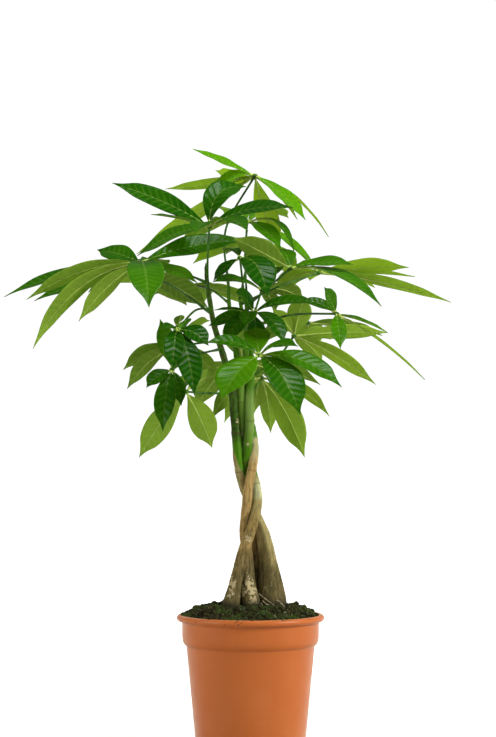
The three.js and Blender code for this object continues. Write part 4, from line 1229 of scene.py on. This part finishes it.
class TREE_OT_stems(bpy.types.Operator):
    """Grows the four plaited stems, with bark, nodes and scars"""

    bl_idname = "tree.stems"
    bl_label = "Plaited stems"

    def execute(self, context):
        settings = context.scene.tree_stems
        material = bark(settings)
        for number, name in enumerate(STEMS):
            stem = self.stem(settings, name, np.random.default_rng(STEM_SEED + number))
            dress(stem, [material])
            plant(stem, "bark", name)
        return {"FINISHED"}

    def stem(self, settings, name, random):
        """A stem rolled along its line, ridged, swollen at its nodes and painted for its bark."""
        shares = np.linspace(0, 1, settings.rows)
        centres, radii = stem_line(name, shares)
        tip = smoothstep(*TIP_CLOSES, shares)
        stem, along, angle, out = rolled(f"{name}_bark", centres, radii * (0.15 + 0.85 * tip),
                                         settings.sides)
        height = np.interp(along, shares, centres[:, 2])
        ridges = np.zeros_like(angle)
        for turns in RIDGE_TURNS:
            phase, drift = random.uniform(0, 2 * np.pi), random.uniform(-RIDGE_TWIST, RIDGE_TWIST)
            ridges += np.sin(turns * angle + phase + drift * along) / turns ** 0.4
        woody = smoothstep(*WOODY, height)
        rough = settings.ridge * (0.25 + 1.1 * woody)
        flutes = np.sin(2 * angle + FLUTE_TWIST * height + random.uniform(0, 6))
        grow = (ridges * rough + NODE_SWELLING * at_nodes(name, height, 0, NODE_REACH)
                + FLUTE_DEPTH * flutes * woody + FOOT_SWELLING * woody)
        grow += PRESSED * smoothstep(*PRESSED_FROM, height) * smoothstep(*PRESSED_TO, height)
        points = points_of(stem) + out * grow[:, None]
        set_points(stem, points)
        start, end, slant = GREENING[name]
        paint(stem, "green", smoothstep(start * MM, end * MM, height + slant * MM * out[:, 0]))
        for tint, stems in TINTS.items():
            rises, full, fades, gone, strength = stems.get(name, (0, MM, MM, 0, 0))
            level = height / MM
            paint(stem, tint, strength * smoothstep(rises, full, level) * smoothstep(gone, fades, level))
        paint(stem, "ring", RING_STRENGTH * at_nodes(name, height, RING_BELOW, RING_REACH))
        paint(stem, "scar", self.scars(name, points, centres, radii))
        paint(stem, "damp", smoothstep(*DAMP, height))
        merge_doubles(stem)
        add_lumps(stem, *BARK_LUMPS)
        return stem

    @staticmethod
    def scars(name, points, centres, radii):
        """How far each point lies inside a scar."""
        marks = np.zeros(len(points))
        for owner, height, direction, reach in SCARS:
            if owner == name:
                ring = np.searchsorted(centres[:, 2], height * MM)
                angle = math.radians(direction)
                out = np.array([math.cos(angle), math.sin(angle), 0])
                away = points - (centres[ring] + out * radii[ring])
                away = np.linalg.norm(away * (1, 1, 0.6), axis=1) / (reach * MM)
                marks = np.maximum(marks, np.clip(1 - away, 0, 1))
        return marks


class LeafletForm:
    """The curved surface of one leaflet, with s along it from 0 at its foot to 1 at its tip."""

    def __init__(self, hub, leaflet, leaf_faces):
        self.hub = np.array(hub, float) * MM
        self.tip = np.array(leaflet.tip, float) * MM
        self.wide = leaflet.wide * MM
        self.faces = unit(np.array(leaflet.faces or leaf_faces, float))
        chord = self.tip - self.hub
        self.length = np.linalg.norm(chord)
        lift = unit(np.array([0, 0, 1.0]) - chord * chord[2] / self.length ** 2)
        self.crown = (self.hub + CROWN * chord) + 2 * leaflet.arch * self.length * lift
        self.root = self.hub + ROOT * unit(self.crown - self.hub)

    def line(self, s):
        """Centres, sides and normals at shares of the leaflet's length."""
        s = np.asarray(s, float)[:, None]
        centre = (1 - s) ** 2 * self.root + 2 * (1 - s) * s * self.crown + s ** 2 * self.tip
        along = unit((1 - s) * (self.crown - self.root) + s * (self.tip - self.crown))
        side = unit(np.cross(along, self.faces))
        return centre, side, np.cross(side, along)

    def half_width(self, s):
        """Half the blade's width: an oval that ends in a narrow drip tip."""
        oval = np.maximum(0, np.sin(np.pi * s ** WIDEST)) ** ROUNDNESS
        drip = 1 - DRIP * smoothstep(DRIP_FROM, DRIP_TO, s)
        return np.maximum(self.wide / 2 * oval * drip, NARROWEST)


class TREE_OT_leaves(bpy.types.Operator):
    """Grows each compound leaf: its stalk, hub and quilted leaflets with their ribs"""

    bl_idname = "tree.leaves"
    bl_label = "Leaves"

    # Where the materials of ribs and stalks stand in the list
    of_rib = 2
    of_stalk = 3

    def execute(self, context):
        settings = context.scene.tree_leaves
        self.materials = [
            leaf_blade(settings, "leaf_top", settings.top, settings.young_top,
                       0.18, 0.065, 0.08, 0.35),
            leaf_blade(settings, "leaf_underside", settings.underside, settings.young_underside,
                       0.6, 0.03, 0.55, 0.5),
            stalk_green("leaf_rib", shade(settings.rib, 0.6), settings.rib),
            stalk_green("leaf_stalk", shade(settings.stalk, 0.6), shade(settings.stalk, 1.5)),
        ]
        pattern = grid("leaflet_pattern", settings.columns, settings.rows)
        for number, (name, leaf) in enumerate(LEAVES.items()):
            random = np.random.default_rng(LEAF_SEED + number)
            piece = self.compound_leaf(settings, pattern, name, leaf, random)
            plant(piece, "leaf", name)
        remove(pattern)
        return {"FINISHED"}

    def compound_leaf(self, settings, pattern, name, leaf, random):
        """A leaf's stalk, hub, blades and ribs as one piece."""
        blades = []
        others = [self.stalk(name, leaf), self.hub(leaf)]
        for piece in others:
            dress(piece, self.materials, self.of_stalk)
        for number, leaflet in enumerate(leaf.leaflets):
            form = LeafletForm(leaf.hub, leaflet, leaf.faces)
            bulge = settings.quilting * (1.1 - leaf.young)
            blade = self.blade(settings, pattern, f"{name}_blade_{number}", form, bulge, random)
            # How pale each leaflet is: partly its age, and partly painted light
            paint(blade, "young", leaf.young + random.uniform(-AGE_SPREAD, AGE_SPREAD))
            blades.append(blade)
            rib = self.rib(f"{name}_rib_{number}", form)
            dress(rib, self.materials, self.of_rib)
            others.append(rib)
        blade = join(blades, f"{name}_blades")
        dress(blade, self.materials)
        modify(blade, "SOLIDIFY", thickness=settings.thickness, offset=0, material_offset=1,
               material_offset_rim=0)
        whole = join([blade, *others], f"{name.removeprefix('leaf_')}_leaf")
        merge_doubles(whole)
        return whole

    @staticmethod
    def blade(settings, pattern, name, form, bulge, random):
        """A copy of the flat pattern, bent, folded and quilted into a leaflet's blade."""
        blade = copy_of(pattern, name)
        flat = points_of(blade)
        across = 2 * flat[:, 0] - 1
        s = flat[:, 1]
        centre, side, normal = form.line(s)
        half = form.half_width(s)
        out = np.abs(across)
        count = max(FEWEST_VEINS, round(form.length / settings.vein_spacing))
        vein = count * (s - VEIN_SLANT * half * out ** VEIN_CURVE / form.length) + VEIN_START
        open_share = smoothstep(0.02, 0.16, s)
        fullness = half / (form.wide / 2)
        quilt = np.sin(np.pi * vein) ** 2 * (1 - out ** 4) * fullness * open_share
        groove = np.exp(-(across / GROOVE_REACH) ** 2) * open_share
        waves = random.uniform(*RIPPLES)
        ripple = np.sin(2 * np.pi * (waves * s + random.random() + SIDE_SHIFT * np.sign(across)))
        rise_by = (FOLD * half * out ** 1.3 * open_share + bulge * quilt
                   - GROOVE_DEPTH * groove + RIPPLE * half * out ** 2 * ripple * open_share)
        set_points(blade, centre + side * (half * across)[:, None] + normal * rise_by[:, None])
        paint(blade, "vein", vein)
        return blade

    @staticmethod
    def rib(name, form):
        """The leaflet's short stalk, which runs on under the blade as its middle rib."""
        s = np.linspace(0, 0.96, RIB_POINTS)
        centre, _, normal = form.line(s)
        stout = 0.75 + 0.5 * smoothstep(0.12, 0, s)
        radii = RIB_RADIUS * (1 - s) ** 1.3 * stout + RIB_TIP_RADIUS
        below = (RIB_DEPTH + 0.3 * radii) * smoothstep(0, 0.08, s)
        return rolled(name, centre - normal * below[:, None], radii, RIB_SIDES)[0]

    @staticmethod
    def stalk(name, leaf):
        """The leaf's long stalk, swollen at the stem and again just below the hub."""
        centres, _ = stem_line(leaf.stem, np.linspace(0, 1, FINE_STEPS))
        start = centres[np.searchsorted(centres[:, 2], leaf.start * MM)]
        s = np.linspace(0, 1, STALK_POINTS)
        radii = (STALK_RADIUS + STALK_SWELLING * smoothstep(0.2, 0.04, s)
                 + STALK_SWELLING * smoothstep(0.93, 1, s))
        route = smooth_line([start / MM, leaf.by, leaf.hub], s)
        return rolled(f"{name}_stalk", route, radii, STALK_SIDES)[0]

    @staticmethod
    def hub(leaf):
        """The small knob where the leaflets meet."""
        knob = added("hub", bpy.ops.mesh.primitive_uv_sphere_add, segments=16, ring_count=10,
                     radius=HUB_RADIUS)
        bpy.ops.object.shade_smooth()
        with edit_mode():
            bpy.ops.transform.resize(value=HUB_SHAPE)
            bpy.ops.transform.translate(value=tuple(MM * part for part in leaf.hub))
        return knob


class TREE_OT_stage(bpy.types.Operator):
    """Sets up the camera, the glowing floor, the white surroundings and the soft lights"""

    bl_idname = "tree.stage"
    bl_label = "Stage"

    def execute(self, context):
        settings = context.scene.tree_stage
        context.scene.view_settings.view_transform = "Standard"
        self.camera(context, settings)
        self.floor()
        self.surroundings(context, settings)
        for name, (place, size, mirrored) in LIGHTS.items():
            light = self.light(f"{name}_light", place, size, getattr(settings, f"{name}_power"))
            light.visible_glossy = mirrored
        return {"FINISHED"}

    @staticmethod
    def camera(context, settings):
        """A camera in front of the plant, level."""
        data = bpy.data.cameras.new("camera")
        data.lens = settings.lens
        camera = bpy.data.objects.new("camera", data)
        context.scene.collection.objects.link(camera)
        camera.location = CAMERA_PLACE
        camera.rotation_euler = (math.pi / 2, 0, 0)
        context.scene.camera = camera

    @staticmethod
    def floor():
        """A grey floor that glows as painted light, dimmer round the pot as a painted shade; it lights
        the plant from below, and isn't mirrored in the leaves.
        """
        floor = added("floor", bpy.ops.mesh.primitive_circle_add, vertices=96, radius=FLOOR_RADIUS,
                      fill_type="NGON")
        material, tree, output = new_material("pale_floor")
        away = add_node(tree, "ShaderNodeVectorMath", {0: place_of(tree)}, operation="LENGTH")
        # Painted light: the floor glows white, and less round the pot, as a painted shade
        glow = rise(tree, away.outputs["Value"], LIP_RADIUS, WHITE_FROM, SHADED_GLOW, 1)
        seen = kind_of_ray(tree, "Is Camera Ray")
        glow = product(tree, glow, rise(tree, seen, 0, 1, FLOOR_LIGHT, 1))
        surface(tree, output, Base_Color=FLOOR_GREY, Roughness=0.8, Emission_Color=WHITE,
                Emission_Strength=glow, Specular_IOR_Level=0.1)
        floor.data.materials.append(material)
        floor.visible_glossy = False
        floor.visible_transmission = False

    @staticmethod
    def surroundings(context, settings):
        """Pure white to the eye, and softer as a light on the plant."""
        world = bpy.data.worlds.new("white surroundings")
        world.use_nodes = True
        tree = world.node_tree
        tree.nodes.clear()
        output = add_node(tree, "ShaderNodeOutputWorld")
        towards = add_node(tree, "ShaderNodeTexCoord").outputs["Generated"]
        parts = add_node(tree, "ShaderNodeSeparateXYZ", {0: towards}).outputs
        mirrored = kind_of_ray(tree, "Is Glossy Ray")
        # Brighter behind the plant, but in a glossy surface only the pale table is bright
        behind = product(tree, rise(tree, parts["Y"], -0.4, 0.6, 0, 2.5 * settings.sky),
                         rise(tree, mirrored, 0, 1, 1, 0))
        table = product(tree, rise(tree, parts["Z"], -0.5, -0.3),
                        rise(tree, parts["Z"], -0.05, 0.1, 1, 0), mirrored)
        strength = calculate(tree, "ADD", behind, table, settings.sky)
        lit = add_node(tree, "ShaderNodeBackground", {"Color": WARM_WHITE, "Strength": strength})
        seen = add_node(tree, "ShaderNodeBackground", {"Color": WHITE, "Strength": SEEN_WHITE})
        both = add_node(tree, "ShaderNodeMixShader", {
            0: kind_of_ray(tree, "Is Camera Ray"), 1: lit.outputs[0], 2: seen.outputs[0]})
        tree.links.new(both.outputs[0], output.inputs["Surface"])
        context.scene.world = world

    @staticmethod
    def light(name, place, size, power):
        """A wide soft light that points at the plant and isn't seen itself."""
        light = added(name, bpy.ops.object.light_add, type="AREA", location=place)
        light.data.shape = "RECTANGLE"
        light.data.size, light.data.size_y = size
        light.data.energy = power
        towards = Vector(PLANT_MIDDLE) - Vector(place)
        light.rotation_euler = towards.to_track_quat("-Z", "Y").to_euler()
        light.visible_camera = False
        return light


OPERATORS = (TREE_OT_stage, TREE_OT_pot, TREE_OT_soil, TREE_OT_stems, TREE_OT_leaves)


class TREE_PT_panel(bpy.types.Panel):
    """Sizes, colours and steps of the potted money tree"""

    bl_idname = "TREE_PT_panel"
    bl_label = "Money tree"
    bl_space_type = "VIEW_3D"
    bl_region_type = "UI"
    bl_category = "Money tree"

    def draw(self, context):
        layout = self.layout
        for operator in OPERATORS:
            layout.operator(operator.bl_idname)
        for group in SETTINGS:
            settings = getattr(context.scene, group)
            box = layout.box()
            for name in settings.bl_rna.properties.keys():
                if name not in ("rna_type", "name"):
                    box.prop(settings, name)


SETTINGS = {
    "tree_pot": PotSettings,
    "tree_soil": SoilSettings,
    "tree_stems": StemSettings,
    "tree_leaves": LeafSettings,
    "tree_stage": StageSettings,
}
CLASSES = (*SETTINGS.values(), *OPERATORS, TREE_PT_panel)


def register():
    for made in CLASSES:
        bpy.utils.register_class(made)
    for name, group in SETTINGS.items():
        setattr(bpy.types.Scene, name, PointerProperty(type=group))


def unregister():
    for name in SETTINGS:
        delattr(bpy.types.Scene, name)
    for made in reversed(CLASSES):
        bpy.utils.unregister_class(made)


def main():
    register()
    bpy.ops.tree.stage()
    bpy.ops.tree.pot()
    bpy.ops.tree.soil()
    bpy.ops.tree.stems()
    bpy.ops.tree.leaves()


if __name__ == "__main__":
    main()
